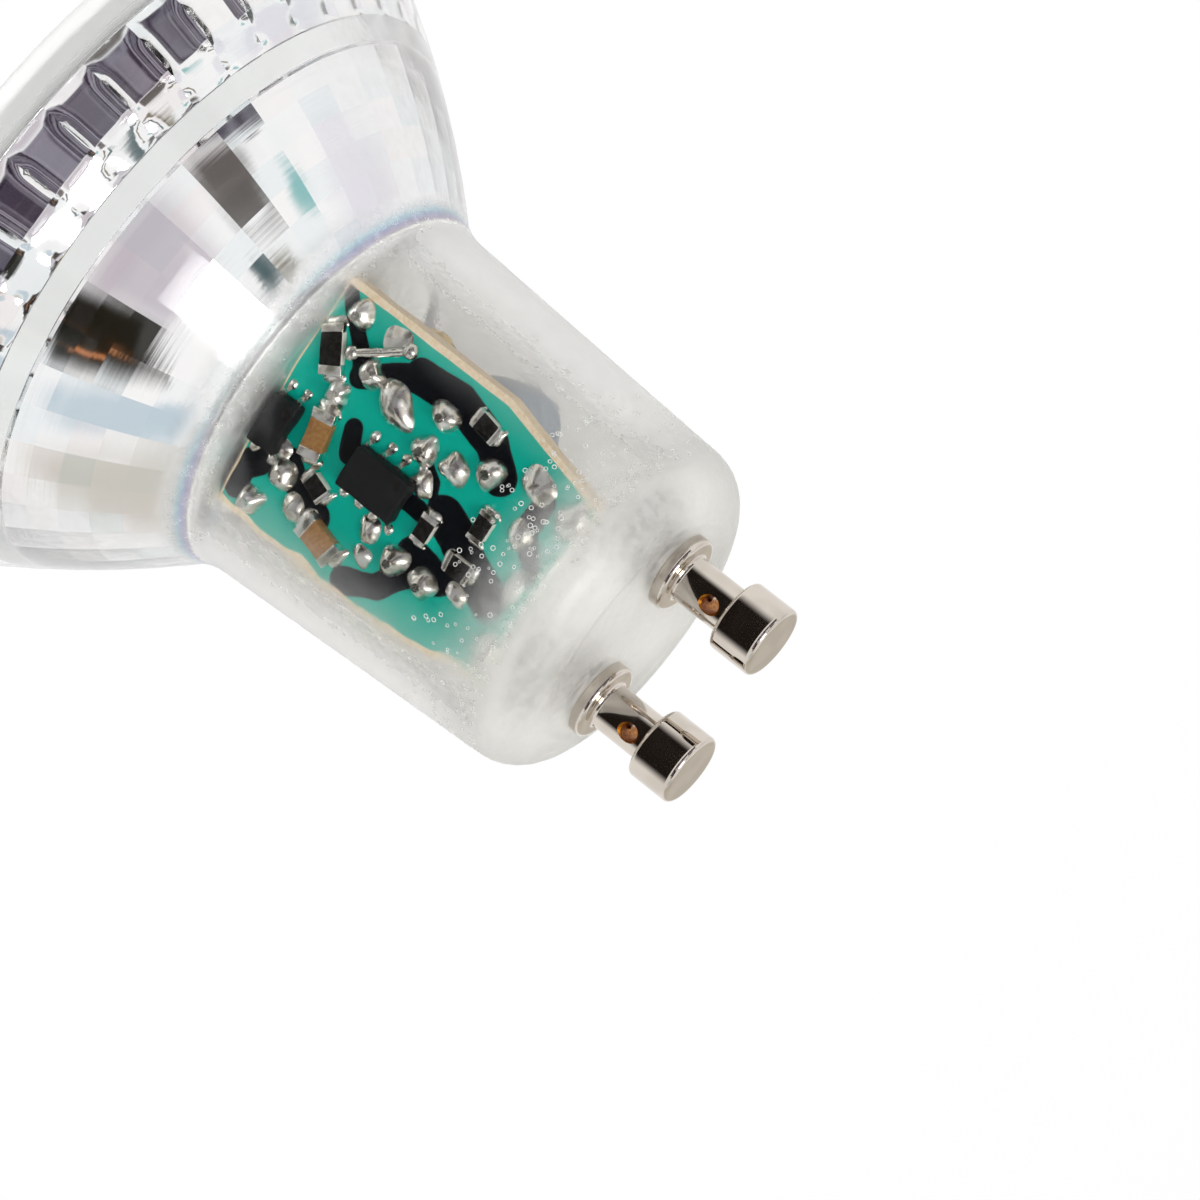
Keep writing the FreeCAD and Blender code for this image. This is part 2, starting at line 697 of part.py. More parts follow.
STUB_END = f"({BOARD_FACE} - dims.lead_stub)"
leads = []
for number, (x, z) in enumerate(CAP_LEADS):
    length = f"{CAN_FOOT} - {STUB_END}"
    leads.append(cylinder(f"cap_lead_{number}", "dims.lead_radius", length, x, STUB_END, z, TO_BACK))
for number, (x, z) in enumerate(COIL_LEADS + FILM_LEADS):
    length = f"{BOARD_BACK} - {STUB_END}"
    leads.append(cylinder(f"part_lead_{number}", "dims.lead_radius", length, x, STUB_END, z, TO_BACK))
fuse_run = "(dims.fuse_pitch - dims.fuse_length)/2"
for number, ((x, z), turn) in enumerate(zip(FUSE_LEADS, (TO_RIGHT, TO_LEFT))):
    leads.append(bent_lead(f"fuse_lead_{number}", fuse_run, f"{FUSE_Y} - {STUB_END}", x, FUSE_Y, z, turn))
nodes.append(group("component_leads", leads))

# Solder joints: a dome round every lead on the solder side

joints = []
for number, (x, z) in enumerate(ALL_LEADS):
    dome = doc.addObject("Part::Sphere", f"dome_{number}")
    bind(dome, Radius="dims.solder_radius")
    dome.Angle1 = 0
    place(dome, x, BOARD_FACE, z, TO_FRONT)
    bore = cylinder(f"dome_bore_{number}", HOLE_RADIUS, "dims.solder_radius", x, BOARD_FACE, z, TO_FRONT)
    joints.append(cut(f"joint_{number}", dome, [bore]))
nodes.append(group("solder_joints", joints))

# Chip packages: a moulded body on two rows of legs

PACKAGE_FOOT = f"({BOARD_FACE} - dims.chip_gap)"


def package(name, key):
    """A moulded chip with rows of legs along its left and right sides."""
    legs = int(value(f"dims.{key}_legs"))
    x, z = f"dims.{key}_x", over_sink(f"dims.{key}_z")
    width, length = f"dims.{key}_width", f"dims.{key}_length"
    height = "dims.package_height"
    top = f"{PACKAGE_FOOT} - dims.package_lift - {height}"
    pieces = [
        block(f"{name}_mould", width, height, length, f"{x} - {width}/2", top, f"{z} - {length}/2"),
    ]
    for leg in range(legs):
        pieces.append(
            block(
                f"{name}_leg_{leg}",
                f"{width} + 2*dims.leg_length",
                "dims.leg_height",
                "dims.leg_width",
                f"{x} - {width}/2 - dims.leg_length",
                f"{PACKAGE_FOOT} - dims.leg_height",
                f"{z} + ({leg} - {legs - 1}/2)*dims.leg_pitch - dims.leg_width/2",
            )
        )
    return joined(name, pieces)


nodes.append(package("bridge_rectifier", "bridge"))
nodes.append(package("driver_chip", "driver"))

# Chip resistors and chip capacitors, each flat on the solder side


def chips(name, kind, places):
    """Small blocks turned in the board's plane about their own middle."""
    pieces = []
    for number in range(len(places)):
        cell = f"dims.{kind}_{number}"
        length, width, height = f"dims.{kind}_length", f"dims.{kind}_width", f"dims.{kind}_height"
        chip = block(f"{kind}_{number}", width, height, length)
        turn = f"{cell}_turn*1deg"
        chip.Placement = FreeCAD.Placement(Vector(), Rotation(Vector(0, 1, 0), value(f"{cell}_turn")))
        across = f"{cell}_across - {width}/2*cos({turn}) - {length}/2*sin({turn})"
        up = f"{over_sink(f'{cell}_up')} + {width}/2*sin({turn}) - {length}/2*cos({turn})"
        chip.setExpression("Placement.Base.x", across)
        chip.setExpression("Placement.Base.y", f"{PACKAGE_FOOT} - {height}")
        chip.setExpression("Placement.Base.z", up)
        pieces.append(chip)
    return group(name, pieces)


nodes.append(chips("chip_resistors", "resistor", RESISTOR_PLACES))
nodes.append(chips("chip_capacitors", "ceramic", CERAMIC_PLACES))
nodes.append(chips("sense_resistor", "sense", SENSE_PLACES))

# Wire link: a short wire between two balls of solder on the solder side

LINK_Y = f"({PACKAGE_FOOT} - dims.link_ball)"
link_turn = Rotation(Vector(0, 1, 0), -value("dims.link_tilt"))
LINK_Z = over_sink("dims.link_z")
LINK_X_END = "dims.link_x - dims.link_length*sin(dims.link_tilt*1deg)"
LINK_Z_END = f"{LINK_Z} + dims.link_length*cos(dims.link_tilt*1deg)"
link_wire = cylinder(
    "link_wire", "dims.link_radius", "dims.link_length", "dims.link_x", LINK_Y, LINK_Z, link_turn
)
link_pieces = [link_wire]
for number, (x, z) in enumerate((("dims.link_x", LINK_Z), (LINK_X_END, LINK_Z_END))):
    ball = doc.addObject("Part::Sphere", f"link_ball_{number}")
    bind(ball, Radius="dims.link_ball")
    link_pieces.append(place(ball, x, LINK_Y, z, link_turn))
nodes.append(joined("wire_link", link_pieces))

# Contact pins: turned and bored, flanged on the glass, rolled over inside it, with a cross hole

HEAD_FOOT = f"({PIN_TOP} - dims.pin_head)"
FLANGE_TOP = "(dims.body_height + dims.pin_flange)"
RIVET_FOOT = f"({BORE_END} - dims.pin_rivet)"
BORE_TOP = f"({PIN_TOP} - dims.pin_cap)"
PIN_SECTION = [
    ("dims.pin_bore_radius", RIVET_FOOT),
    ("dims.pin_rivet_radius", RIVET_FOOT),
    ("dims.pin_rivet_radius", BORE_END),
    ("dims.pin_shank_radius", BORE_END),
    ("dims.pin_shank_radius", "dims.body_height"),
    ("dims.pin_flange_radius", "dims.body_height"),
    ("dims.pin_flange_radius", FLANGE_TOP),
    ("dims.pin_shank_radius", FLANGE_TOP),
    ("dims.pin_shank_radius", HEAD_FOOT),
    ("dims.pin_head_radius", HEAD_FOOT),
    ("dims.pin_head_radius", PIN_TOP),
    ("0", PIN_TOP),
    ("0", BORE_TOP),
    ("dims.pin_bore_radius", BORE_TOP),
]
PIN_ROUNDS = [
    ("dims.pin_flange_radius", FLANGE_TOP),
    ("dims.pin_head_radius", HEAD_FOOT),
    ("dims.pin_head_radius", PIN_TOP),
]
for side, sign in SIDES:
    pin = turned_body(f"pin_turned_{side}", PIN_SECTION)
    round_rings(pin, f"pin_rounds_{side}", "dims.pin_round", PIN_ROUNDS)
    round_rings(pin, f"pin_root_{side}", "dims.pin_fillet", [("dims.pin_shank_radius", FLANGE_TOP)])
    place(pin, x=f"{sign}*dims.pin_pitch/2")
    vent = cylinder(
        f"pin_vent_{side}",
        "dims.vent_radius",
        "2*dims.pin_head_radius",
        f"{sign}*dims.pin_pitch/2",
        "dims.pin_head_radius",
        "dims.body_height + dims.vent_height",
        TO_FRONT,
    )
    nodes.append(cut(f"contact_pin_{side}", pin, [vent]))

# Mains leads from the pins' bores to the board, and light-source leads through the heat sink

MAINS_RUN = f"dims.body_height + dims.mains_reach - {MAINS_TURN}"
LED_RUN = f"{LED_TURN} - {LED_BOARD_FOOT}"
for (side, _), (x, z) in zip(SIDES, MAINS_LEADS):
    nodes.append(bent_lead(f"mains_lead_{side}", MAINS_RUN, f"-{STUB_END}", x, "0", z))
for (side, _), (x, z) in zip(SIDES, LED_LEADS):
    nodes.append(bent_lead(f"led_lead_{side}", LED_RUN, f"{LED_LEAD_Y} - {STUB_END}", x, LED_LEAD_Y, z, DOWN))

# Checks, and one file for each sub-part

doc.recompute()
for item in doc.Objects:
    if {"Invalid", "Error"} & set(item.State):
        raise RuntimeError(f"{item.Label} failed: {item.State}")
os.makedirs("parts", exist_ok=True)
for node in nodes:
    shape = node.Shape
    if shape.isNull() or not shape.isValid():
        raise RuntimeError(f"{node.Label} has no valid shape")
for node in nodes:
    node.Shape.exportStep(os.path.join("parts", f"{node.Label}.step"))
    print(f"{node.Label}: {len(node.Shape.Solids)} solids, {node.Shape.Volume:.2f} mm3")
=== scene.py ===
# %% [markdown]
# # A mains spotlight bulb: pressed glass, a mirror coat and a driver board
#
# The bulb stands on its front rim with its two contact pins up. Its cup and neck are one pressing of clear
# glass. A mirror coat lines the cup's facets, an aluminium disc closes the throat, and behind it a driver
# board stands in the neck, where the frosted glass lets it show. This lesson dresses the bulb piece by
# piece, from the frame that gives every place, to the light that brings out glass, mirror and metal.
#
# Sizes are in millimetres and are turned to metres where a mesh is made.

import bpy
import numpy as np
from mathutils import Matrix, Vector


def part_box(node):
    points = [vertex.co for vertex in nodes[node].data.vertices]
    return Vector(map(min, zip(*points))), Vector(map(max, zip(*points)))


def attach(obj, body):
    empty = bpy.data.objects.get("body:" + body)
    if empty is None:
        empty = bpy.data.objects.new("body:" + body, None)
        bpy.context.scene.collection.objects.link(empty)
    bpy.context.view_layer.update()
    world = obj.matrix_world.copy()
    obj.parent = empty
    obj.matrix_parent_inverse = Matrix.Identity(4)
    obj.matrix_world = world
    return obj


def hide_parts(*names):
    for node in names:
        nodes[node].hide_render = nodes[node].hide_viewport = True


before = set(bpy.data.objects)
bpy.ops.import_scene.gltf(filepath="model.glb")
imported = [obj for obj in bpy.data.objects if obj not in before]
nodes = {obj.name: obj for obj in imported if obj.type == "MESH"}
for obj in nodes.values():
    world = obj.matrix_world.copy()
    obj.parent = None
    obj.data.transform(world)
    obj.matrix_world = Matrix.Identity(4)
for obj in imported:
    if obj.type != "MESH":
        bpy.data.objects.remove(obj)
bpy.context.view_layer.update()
MM = 0.001


def box(node):
    """Lowest and highest corner of a frame node, in millimetres."""
    low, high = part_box(node)
    return np.array(low) / MM, np.array(high) / MM


def middle(node):
    """Centre of a frame node's box, in millimetres."""
    return sum(box(node)) / 2


def half_width(node):
    """Half of a frame node's width along X, which is the radius of a round one, in millimetres."""
    low, high = box(node)
    return (high[0] - low[0]) / 2


print("frame nodes:", len(nodes))

# %% [markdown]
# ## Small tools
#
# Three kinds of helper carry the whole lesson. The first turns a given colour into the linear numbers
# that a shader takes. The second adds a shader node with its settings and links in one call. The third
# makes closed meshes from arrays, such as a section turned round an axis, and sets them down as pieces.
# Arrays keep the shapes exact and quick to change, where sculpting by hand would have to be done again.

# %% Colour and shader tools


def linear(colour):
    """Linear RGBA from an sRGB hex colour such as "#06A38B"."""
    srgb = np.array([int(colour[i : i + 2], 16) for i in (1, 3, 5)]) / 255
    rgb = np.where(srgb <= 0.04045, srgb / 12.92, ((srgb + 0.055) / 1.055) ** 2.4)
    return (*rgb.tolist(), 1.0)


def set_inputs(node, inputs):
    """Fills sockets: a value is written, a socket is linked, and a node is linked by its first output."""
    for key, entry in inputs.items():
        if isinstance(entry, bpy.types.Node):
            entry = entry.outputs[0]
        if isinstance(entry, bpy.types.NodeSocket):
            node.id_data.links.new(entry, node.inputs[key])
        else:
            node.inputs[key].default_value = entry


def add_node(tree, kind, inputs=(), stops=(), **settings):
    """One shader node: settings are its properties, inputs fill its sockets, stops fill a colour ramp."""
    node = tree.nodes.new("ShaderNode" + kind)
    for name, setting in settings.items():
        setattr(node, name, setting)
    set_inputs(node, dict(inputs))
    for number, (position, colour) in enumerate(stops):
        elements = node.color_ramp.elements
        element = elements[number] if number < 2 else elements.new(position)
        element.position = position
        element.color = linear(colour)
    return node


def new_material(name, **sockets):
    """A material with one Principled shader, its sockets set by name with underscores for spaces."""
    material = bpy.data.materials.new(name)
    material.use_nodes = True
    tree = material.node_tree
    shader = tree.nodes["Principled BSDF"]
    set_inputs(shader, {key.replace("_", " "): entry for key, entry in sockets.items()})
    return material, tree, shader


def show(tree, surface):
    """Makes a shader the one that the material shows."""
    set_inputs(tree.nodes["Material Output"], {"Surface": surface})


def per_mm(size):
    """Texture scale whose features are about this many millimetres wide."""
    return 1 / (size * MM)


def object_place(tree):
    """Object coordinates, and the socket that gives height up the lamp in metres."""
    place = add_node(tree, "TexCoord").outputs["Object"]
    height = add_node(tree, "SeparateXYZ", {"Vector": place}).outputs["Z"]
    return place, height


def grain(tree, shader, size, depth, low=None, high=None, detail=3.0):
    """Fine noise of a size in millimetres: a bump that deep, and roughness that runs from low to high.

    Grain too fine to show, as on metal and moulded plastic, is drawn coarser than it is.
    """
    place, _ = object_place(tree)
    noise = add_node(tree, "TexNoise", {"Vector": place, "Scale": per_mm(size), "Detail": detail})
    set_inputs(shader, {"Normal": add_node(tree, "Bump", {"Height": noise, "Distance": depth * MM})})
    if low is not None:
        ends = {"Value": noise, "From Min": 0.3, "From Max": 0.7, "To Min": low, "To Max": high}
        set_inputs(shader, {"Roughness": add_node(tree, "MapRange", ends)})
    return noise


def finish(name, first, second, size, depth, low, high, detail=3.0, **sockets):
    """A material with grain, whose colour drifts between two tones with the same noise."""
    material, tree, shader = new_material(name, **sockets)
    noise = grain(tree, shader, size, depth, low, high, detail)
    tones = add_node(tree, "ValToRGB", {"Fac": noise}, ((0.35, first), (0.65, second)))
    set_inputs(shader, {"Base Color": tones})
    return material


# %% Rings, grids and turned sections


def ring_quads(rows, columns, closed):
    """Quads of a grid whose columns close round; closed joins its last row to its first."""
    row = np.arange(rows if closed else rows - 1)[:, None]
    below = (row + 1) % rows * columns
    here = np.arange(columns)
    after = (here + 1) % columns
    corners = np.broadcast_arrays(row * columns + here, below + here, below + after, row * columns + after)
    return np.stack(corners, -1).reshape(-1, 4)


def grid_faces(rows, columns):
    """Quads of an open grid of points."""
    row = np.arange(rows - 1)[:, None] * columns + np.arange(columns - 1)
    return np.stack([row, row + 1, row + columns + 1, row + columns], -1).reshape(-1, 4)


def capped(points):
    """Points and faces of a closed grid whose first and last rows shrink to one point each."""
    rows, columns = points.shape[0] - 2, points.shape[1]
    tips = points[[0, -1]].mean(axis=1)
    first = np.arange(columns)
    after = (first + 1) % columns
    last = (rows - 1) * columns
    top = np.stack([np.full(columns, rows * columns), first, after], -1)
    foot = np.stack([np.full(columns, rows * columns + 1), last + after, last + first], -1)
    faces = [*ring_quads(rows, columns, False).tolist(), *top.tolist(), *foot.tolist()]
    return np.concatenate([points[1:-1].reshape(-1, 3), tips]), faces


def swept(radius, height, angle):
    """Points round the Z axis from grids of radius and height."""
    return np.stack(np.broadcast_arrays(radius * np.cos(angle), radius * np.sin(angle), height), -1)


def around(radius, height, angle):
    """A body round the Z axis whose grids of radius and height begin and end on the axis."""
    return capped(swept(radius, height, angle))


def hollow(radius, height, angle):
    """A closed ring-shaped skin round the Z axis: the last row of its grids joins the first."""
    points = swept(radius, height, angle)
    return points.reshape(-1, 3), ring_quads(*points.shape[:2], True).tolist()


def full_turn(columns):
    """Angles of a full turn in even steps."""
    return np.arange(columns) * 2 * np.pi / columns


def section(corners, step):
    """Points along a section of (radius, height, rounding) corners, with arcs at rounded corners.

    An arc starts where it touches the straight side, rounding / tan(half the corner's angle) from the
    corner, and its directions turn evenly from one touching point to the other.
    """
    corners = np.array(corners, float)
    path = [corners[0, :2]]
    for before, here, after in zip(corners, corners[1:], corners[2:]):
        corner, rounding = here[:2], here[2]
        if rounding == 0:
            path.append(corner)
            continue
        back = (before[:2] - corner) / np.linalg.norm(before[:2] - corner)
        ahead = (after[:2] - corner) / np.linalg.norm(after[:2] - corner)
        half = np.arccos(np.clip(back @ ahead, -1, 1)) / 2
        turn = np.pi - 2 * half
        centre = corner + (back + ahead) / np.linalg.norm(back + ahead) * rounding / np.sin(half)
        start = (corner + back * rounding / np.tan(half) - centre) / rounding
        end = (corner + ahead * rounding / np.tan(half) - centre) / rounding
        share = np.linspace(0, 1, max(4, int(rounding * turn / step)) + 1)[:, None]
        arc = (np.sin((1 - share) * turn) * start + np.sin(share * turn) * end) / np.sin(turn)
        path.extend(centre + rounding * arc)
    path.append(corners[-1, :2])
    filled = [path[0][None]]
    for start, end in zip(path, path[1:]):
        parts = max(1, int(np.ceil(np.linalg.norm(end - start) / step)))
        filled.append(start + (end - start) * np.linspace(0, 1, parts + 1)[1:, None])
    return np.concatenate(filled)


def turned(corners, step=0.2, columns=64):
    """A body turned about Z from a section that starts and ends on the axis, top first."""
    path = section(corners, step)
    return around(path[:, :1], path[:, 1:], full_turn(columns))


# %% Pieces


def outward(points, faces):
    """Faces of a closed body, turned to face out of it: its volume, summed over corner fans, is positive."""
    volume = 0.0
    for size in {len(face) for face in faces}:
        corners = points[np.array([face for face in faces if len(face) == size])]
        for i in range(1, size - 1):
            volume += np.einsum("ij,ij->", corners[:, 0], np.cross(corners[:, i], corners[:, i + 1]))
    return faces if volume > 0 else [face[::-1] for face in faces]


def place_mesh(name, points, faces, *materials):
    """An object at the origin from points in millimetres, with its materials in order."""
    mesh = bpy.data.meshes.new(name)
    mesh.from_pydata((points * MM).tolist(), [], faces)
    for material in materials:
        mesh.materials.append(material)
    thing = bpy.data.objects.new(name, mesh)
    bpy.context.collection.objects.link(thing)
    return thing


def make_piece(name, parts, replaced=(), sharp=40.0):
    """A piece from parts of (points in mm, faces, material), faces out, riding on the bulb's one body."""
    points, faces, paints, materials = [], [], [], []
    start = 0
    for part_points, part_faces, material in parts:
        if material not in materials:
            materials.append(material)
        faces.extend([[corner + start for corner in face] for face in outward(part_points, part_faces)])
        paints.extend([materials.index(material)] * len(part_faces))
        points.append(part_points)
        start += len(part_points)
    piece = place_mesh(name, np.concatenate(points), faces, *materials)
    piece.data.polygons.foreach_set("material_index", paints)
    piece.data.shade_smooth()
    piece.data.set_sharp_from_angle(angle=np.radians(sharp))
    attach(piece, "root")
    if replaced:
        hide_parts(*replaced)
    print(f"{name}: {len(faces)} faces")
    return piece


def dress(material, *names):
    """Gives frame nodes a finish on every slot."""
    for name in names:
        mesh = nodes[name].data
        mesh.materials.clear()
        mesh.materials.append(material)


# %% [markdown]
# ## Camera
#
# The picture looks at the bulb's rear from close by and a little above, with the lamp's axis leaning to
# the lower right. The camera was placed from the two pins and the neck's outline. Its three axes are given
# as they lie in the lamp's frame.

# %% Camera
CAMERA_PLACE = np.array((-134.58, -359.68, 159.54))
CAMERA_RIGHT = np.array((-0.50084, 0.43060, 0.75083))
CAMERA_FORWARD = np.array((0.33484, 0.89632, -0.29068))
FOCAL_LENGTH = 191.88

camera_data = bpy.data.cameras.new("camera")
camera_data.lens = FOCAL_LENGTH
camera_data.clip_start = 0.01
camera_data.clip_end = 20.0
camera = bpy.data.objects.new("camera", camera_data)
bpy.context.collection.objects.link(camera)
CAMERA_UP = np.cross(CAMERA_RIGHT, CAMERA_FORWARD)
axes = Matrix(np.stack([CAMERA_RIGHT, CAMERA_UP, -CAMERA_FORWARD], 1).tolist())
camera.matrix_world = Matrix.Translation((CAMERA_PLACE * MM).tolist()) @ axes.to_4x4()
bpy.context.scene.camera = camera
print("camera at", CAMERA_PLACE)

# %% [markdown]
# ## Studio
#
# The bulb stands on a white floor under a pale sky, as in a light tent. A mirror and two bright pins show
# whatever stands round them, so what stands there matters as much as the lamps do: the front flutes look
# level into a dim room, the bowl looks up at a soft box and a few dark shapes, and the pins look down at
# the edge of a dark bench. Each of these is a soft-edged card, most of them on a dome round the lamp.
# Cards colour reflections and cast no shadow, which keeps the light on the bulb plain.

# %% Floor and sky
DOME_RADIUS = 620.0
DOME_CENTRE = np.array((0.0, 0.0, 25.0))
FLOOR_HALF, FLOOR_GLOW = 4000.0, 0.86
SKY_ON_MATT = 0.75


def stage_mesh(name, points, faces, material):
    """A mesh that stands round the bulb and isn't part of it; its glow isn't counted as a lamp."""
    material.cycles.emission_sampling = "NONE"
    thing = place_mesh(name, points, faces, material)
    return thing


# A matt painted floor: even white to the eye and in reflections, with the bulb's soft shadow on it.
floor_paint, tree, shader = new_material("matt white floor", Base_Color=linear("#F4F4F4"), Roughness=0.9)
rays = add_node(tree, "LightPath").outputs
seen = rays["Is Camera Ray"]
for kind in ("Transmission", "Glossy"):
    seen = add_node(tree, "Math", {0: seen, 1: rays[f"Is {kind} Ray"]}, operation="MAXIMUM")
share = add_node(tree, "Math", {0: seen, 1: FLOOR_GLOW}, operation="MULTIPLY")
glow = add_node(tree, "Emission", {"Color": (1, 1, 1, 1), "Strength": 1.0})
show(tree, add_node(tree, "MixShader", {0: share, 1: shader, 2: glow}))
corners = np.array([(-1, -1, 0), (1, -1, 0), (1, 1, 0), (-1, 1, 0)]) * FLOOR_HALF
stage_mesh("floor", corners, [[0, 1, 2, 3]], floor_paint)

world = bpy.data.worlds.new("pale sky")
bpy.context.scene.world = world
world.use_nodes = True
tree = world.node_tree
rays = add_node(tree, "LightPath").outputs
dim = {0: rays["Is Diffuse Ray"], 1: SKY_ON_MATT - 1, 2: 1.0}
dim = add_node(tree, "Math", dim, operation="MULTIPLY_ADD")
set_inputs(tree.nodes["Background"], {"Color": (1, 1, 1, 1), "Strength": dim})
bpy.context.scene.view_settings.view_transform = "Standard"
print("floor and sky set")

# %% Lamps and cards
CARD_COLUMNS, CARD_ROWS = 17, 9
across, up = np.meshgrid(np.linspace(-1, 1, CARD_COLUMNS), np.linspace(-1, 1, CARD_ROWS))
card_places = np.stack([across, up, 0 * up], -1)


def on_dome(azimuth, elevation, distance=DOME_RADIUS):
    """Points at an azimuth from minus Y towards plus X and an elevation, in degrees, round the lamp."""
    turn, rise = np.radians(azimuth), np.radians(elevation)
    ray = np.broadcast_arrays(np.sin(turn) * np.cos(rise), -np.cos(turn) * np.cos(rise), np.sin(rise))
    return DOME_CENTRE + distance * np.stack(ray, -1)


def soft_sheet(name, points, colour, soft, second=None, folds=1.0):
    """A sheet seen in reflections only, whose colour fades out over a soft share of its sides.

    Its cover is the product of two smooth steps in the distance from its side edges and from its other two.
    A second colour makes folds across it, as in a curtain: a noise of the place across it picks the tone.
    """
    paint, tree, _ = new_material(name)
    share = add_node(tree, "Attribute", attribute_name="share").outputs["Vector"]
    ways = add_node(tree, "SeparateXYZ", {"Vector": share}).outputs
    covers = []
    for way, fade in zip(ways, soft):
        off = add_node(tree, "Math", {0: way}, operation="ABSOLUTE")
        ends = {"Value": off, "From Min": 1.0, "From Max": 1.0 - fade}
        covers.append(add_node(tree, "MapRange", ends, interpolation_type="SMOOTHSTEP"))
    cover = add_node(tree, "Math", {0: covers[0], 1: covers[1]}, operation="MULTIPLY")
    clear = add_node(tree, "BsdfTransparent")
    glow = add_node(tree, "Emission", {"Color": linear(colour)})
    if second:
        fold = {"W": ways[0], "Scale": folds, "Detail": 1.0}
        fold = add_node(tree, "TexNoise", fold, noise_dimensions="1D")
        tones = add_node(tree, "ValToRGB", {"Fac": fold}, ((0.42, colour), (0.66, second)))
        set_inputs(glow, {"Color": tones})
    show(tree, add_node(tree, "MixShader", {0: cover, 1: clear, 2: glow}))
    thing = stage_mesh(name, points.reshape(-1, 3), grid_faces(CARD_ROWS, CARD_COLUMNS).tolist(), paint)
    shares = thing.data.attributes.new("share", "FLOAT_VECTOR", "POINT")
    shares.data.foreach_set("vector", card_places.ravel())
    for ray in ("camera", "diffuse", "shadow"):
        setattr(thing, f"visible_{ray}", False)


def card(name, azimuths, elevations, colour, soft, distance=DOME_RADIUS, **folds):
    """A soft sheet on the dome, between two azimuths and two elevations in degrees."""
    turn = np.interp(across, (-1, 1), azimuths)
    rise = np.interp(up, (-1, 1), elevations)
    soft_sheet(name, on_dome(turn, rise, distance), colour, soft, **folds)


def lamp(name, azimuth, elevation, distance, size, radiance):
    """A square soft box that faces the bulb; its power is its radiance times pi times its area."""
    data = bpy.data.lights.new(name, "AREA")
    data.size = size * MM
    data.energy = radiance * np.pi * (size * MM) ** 2
    thing = bpy.data.objects.new(name, data)
    bpy.context.collection.objects.link(thing)
    place = on_dome(azimuth, elevation, distance)
    thing.location = (place * MM).tolist()
    thing.rotation_euler = Vector((place - DOME_CENTRE).tolist()).to_track_quat("Z", "Y").to_euler()
    return thing


lamp("key soft box", -18, 60, 900, 300, 9.6)
lamp("side soft box", 150, 45, 900, 500, 1.3)
fill = lamp("fill soft box", -10, 24, 900, 420, 4.5)
fill.visible_glossy = False
fill.visible_transmission = False

card("dim room", (-88, 30), (-6, 25), "#332839", (0.1, 0.2), second="#9C97A4", folds=9.0)
card("lilac haze", (-50, 16), (22, 54), "#CBC4CB", (0.6, 0.5), 616.0)
card("dark doorway", (2, 42), (20, 50), "#1E1B12", (0.5, 0.2), 612.0)
card("grey stand", (-80, -50), (22, 50), "#67625F", (0.6, 0.5), 614.0)
card("teal strip", (-58, -50), (51, 82), "#4A6064", (0.3, 0.3), 610.0)
card("tan strip", (-76, -68), (51, 82), "#7E745C", (0.2, 0.3), 610.0)
card("teal glint", (-100, -86), (32, 46), "#8FC4C4", (0.7, 0.7), 612.0)
card("blue wall", (44, 70), (16, 62), "#CBD9E2", (0.6, 0.5))
card("warm wall", (64, 186), (4, 68), "#D3CFC6", (0.35, 0.4), 616.0)
card("lilac wall", (-150, -104), (14, 60), "#EDECF3", (0.6, 0.5))
for number, azimuth in enumerate((21.0, 30.0)):
    card(f"orange strip {number}", (azimuth, azimuth + 2.0), (26, 42), "#C88456", (0.5, 0.3), 604.0)

BENCH_REACH, BENCH_AZIMUTHS, BENCH_HIGH = (48.0, 250.0), (-90.0, 70.0), 0.5
turn = np.radians(np.interp(across, (-1, 1), BENCH_AZIMUTHS))
reach = np.interp(up, (-1, 1), BENCH_REACH)
points = np.stack([reach * np.sin(turn), -reach * np.cos(turn), np.full_like(turn, BENCH_HIGH)], -1)
soft_sheet("dark bench edge", points, "#241F1C", (0.4, 0.3))
print("lamps and cards set")

# %% [markdown]
# ## Pressed glass
#
# The envelope is pressed in a mould from one gob of glass. Outside it is a straight rim, a cup that swells
# a little, a hollow root and a neck that narrows to a rounded shoulder. Inside, the plunger leaves forty
# sides: long flutes at the front, a plain band, then six rows of facets up to the throat. The mesh follows
# that section as a closed path from the middle of the end face, down the outside, round the rim, up the
# inside and back to the axis. Each inner row goes from round to forty-sided by dividing by the cosine of
# the angle from the middle of a side.

# %% The glass section
_, (RIM_RADIUS, _, BODY_HEIGHT) = box("glass_body")
FACETS = 40
ACROSS, ALONG = 8, 6
COLUMNS = FACETS * ACROSS
RIM_HEIGHT, RIM_ROUND = 4.0, 0.6
ROOT_RADIUS, ROOT_HEIGHT, ROOT_ROUND = 13.35, 20.3, 5.0
NECK_END_RADIUS, SHOULDER_ROUND = 11.85, 3.2
END_WALL = 3.0
BORE_END_RADIUS, BORE_RADIUS = 9.95, 10.9
LEDGE_HEIGHT = box("heat_sink")[0][2] + 1.4
THROAT_RADIUS, BOWL_RADIUS, BOWL_BULGE, BOWL_ROWS = 12.0, 19.3, 0.55, 6
BOWL_LIP = 0.1
BAND_HEIGHT, BAND_WIDTH, BAND_RADIUS = 9.6, 1.6, 20.0
FLUTE_RADIUS, FLUTE_FRONT_RADIUS, FLUTE_STEPS = 20.7, 22.9, 23
LENS_SEAT, LENS_POCKET_RADIUS = 2.7, 23.2
FACET_ROUNDNESS, FLUTE_ROUNDNESS = (0.62, 0.95), (0.25, 0.6)
NOSE_LONG, NOSE_POWER = 2.0, 1.15
RIDGE_HIGH, RIDGE_FADE = 0.2, 1.2

angle = full_turn(COLUMNS)
side_angle = angle % (2 * np.pi / FACETS) - np.pi / FACETS
side_share = side_angle / (np.pi / FACETS)


def forty_sided(radius):
    """Radius at every column of a forty-sided ring whose corners lie on this radius."""
    return np.asarray(radius)[..., None] * np.cos(np.pi / FACETS) / np.cos(side_angle)


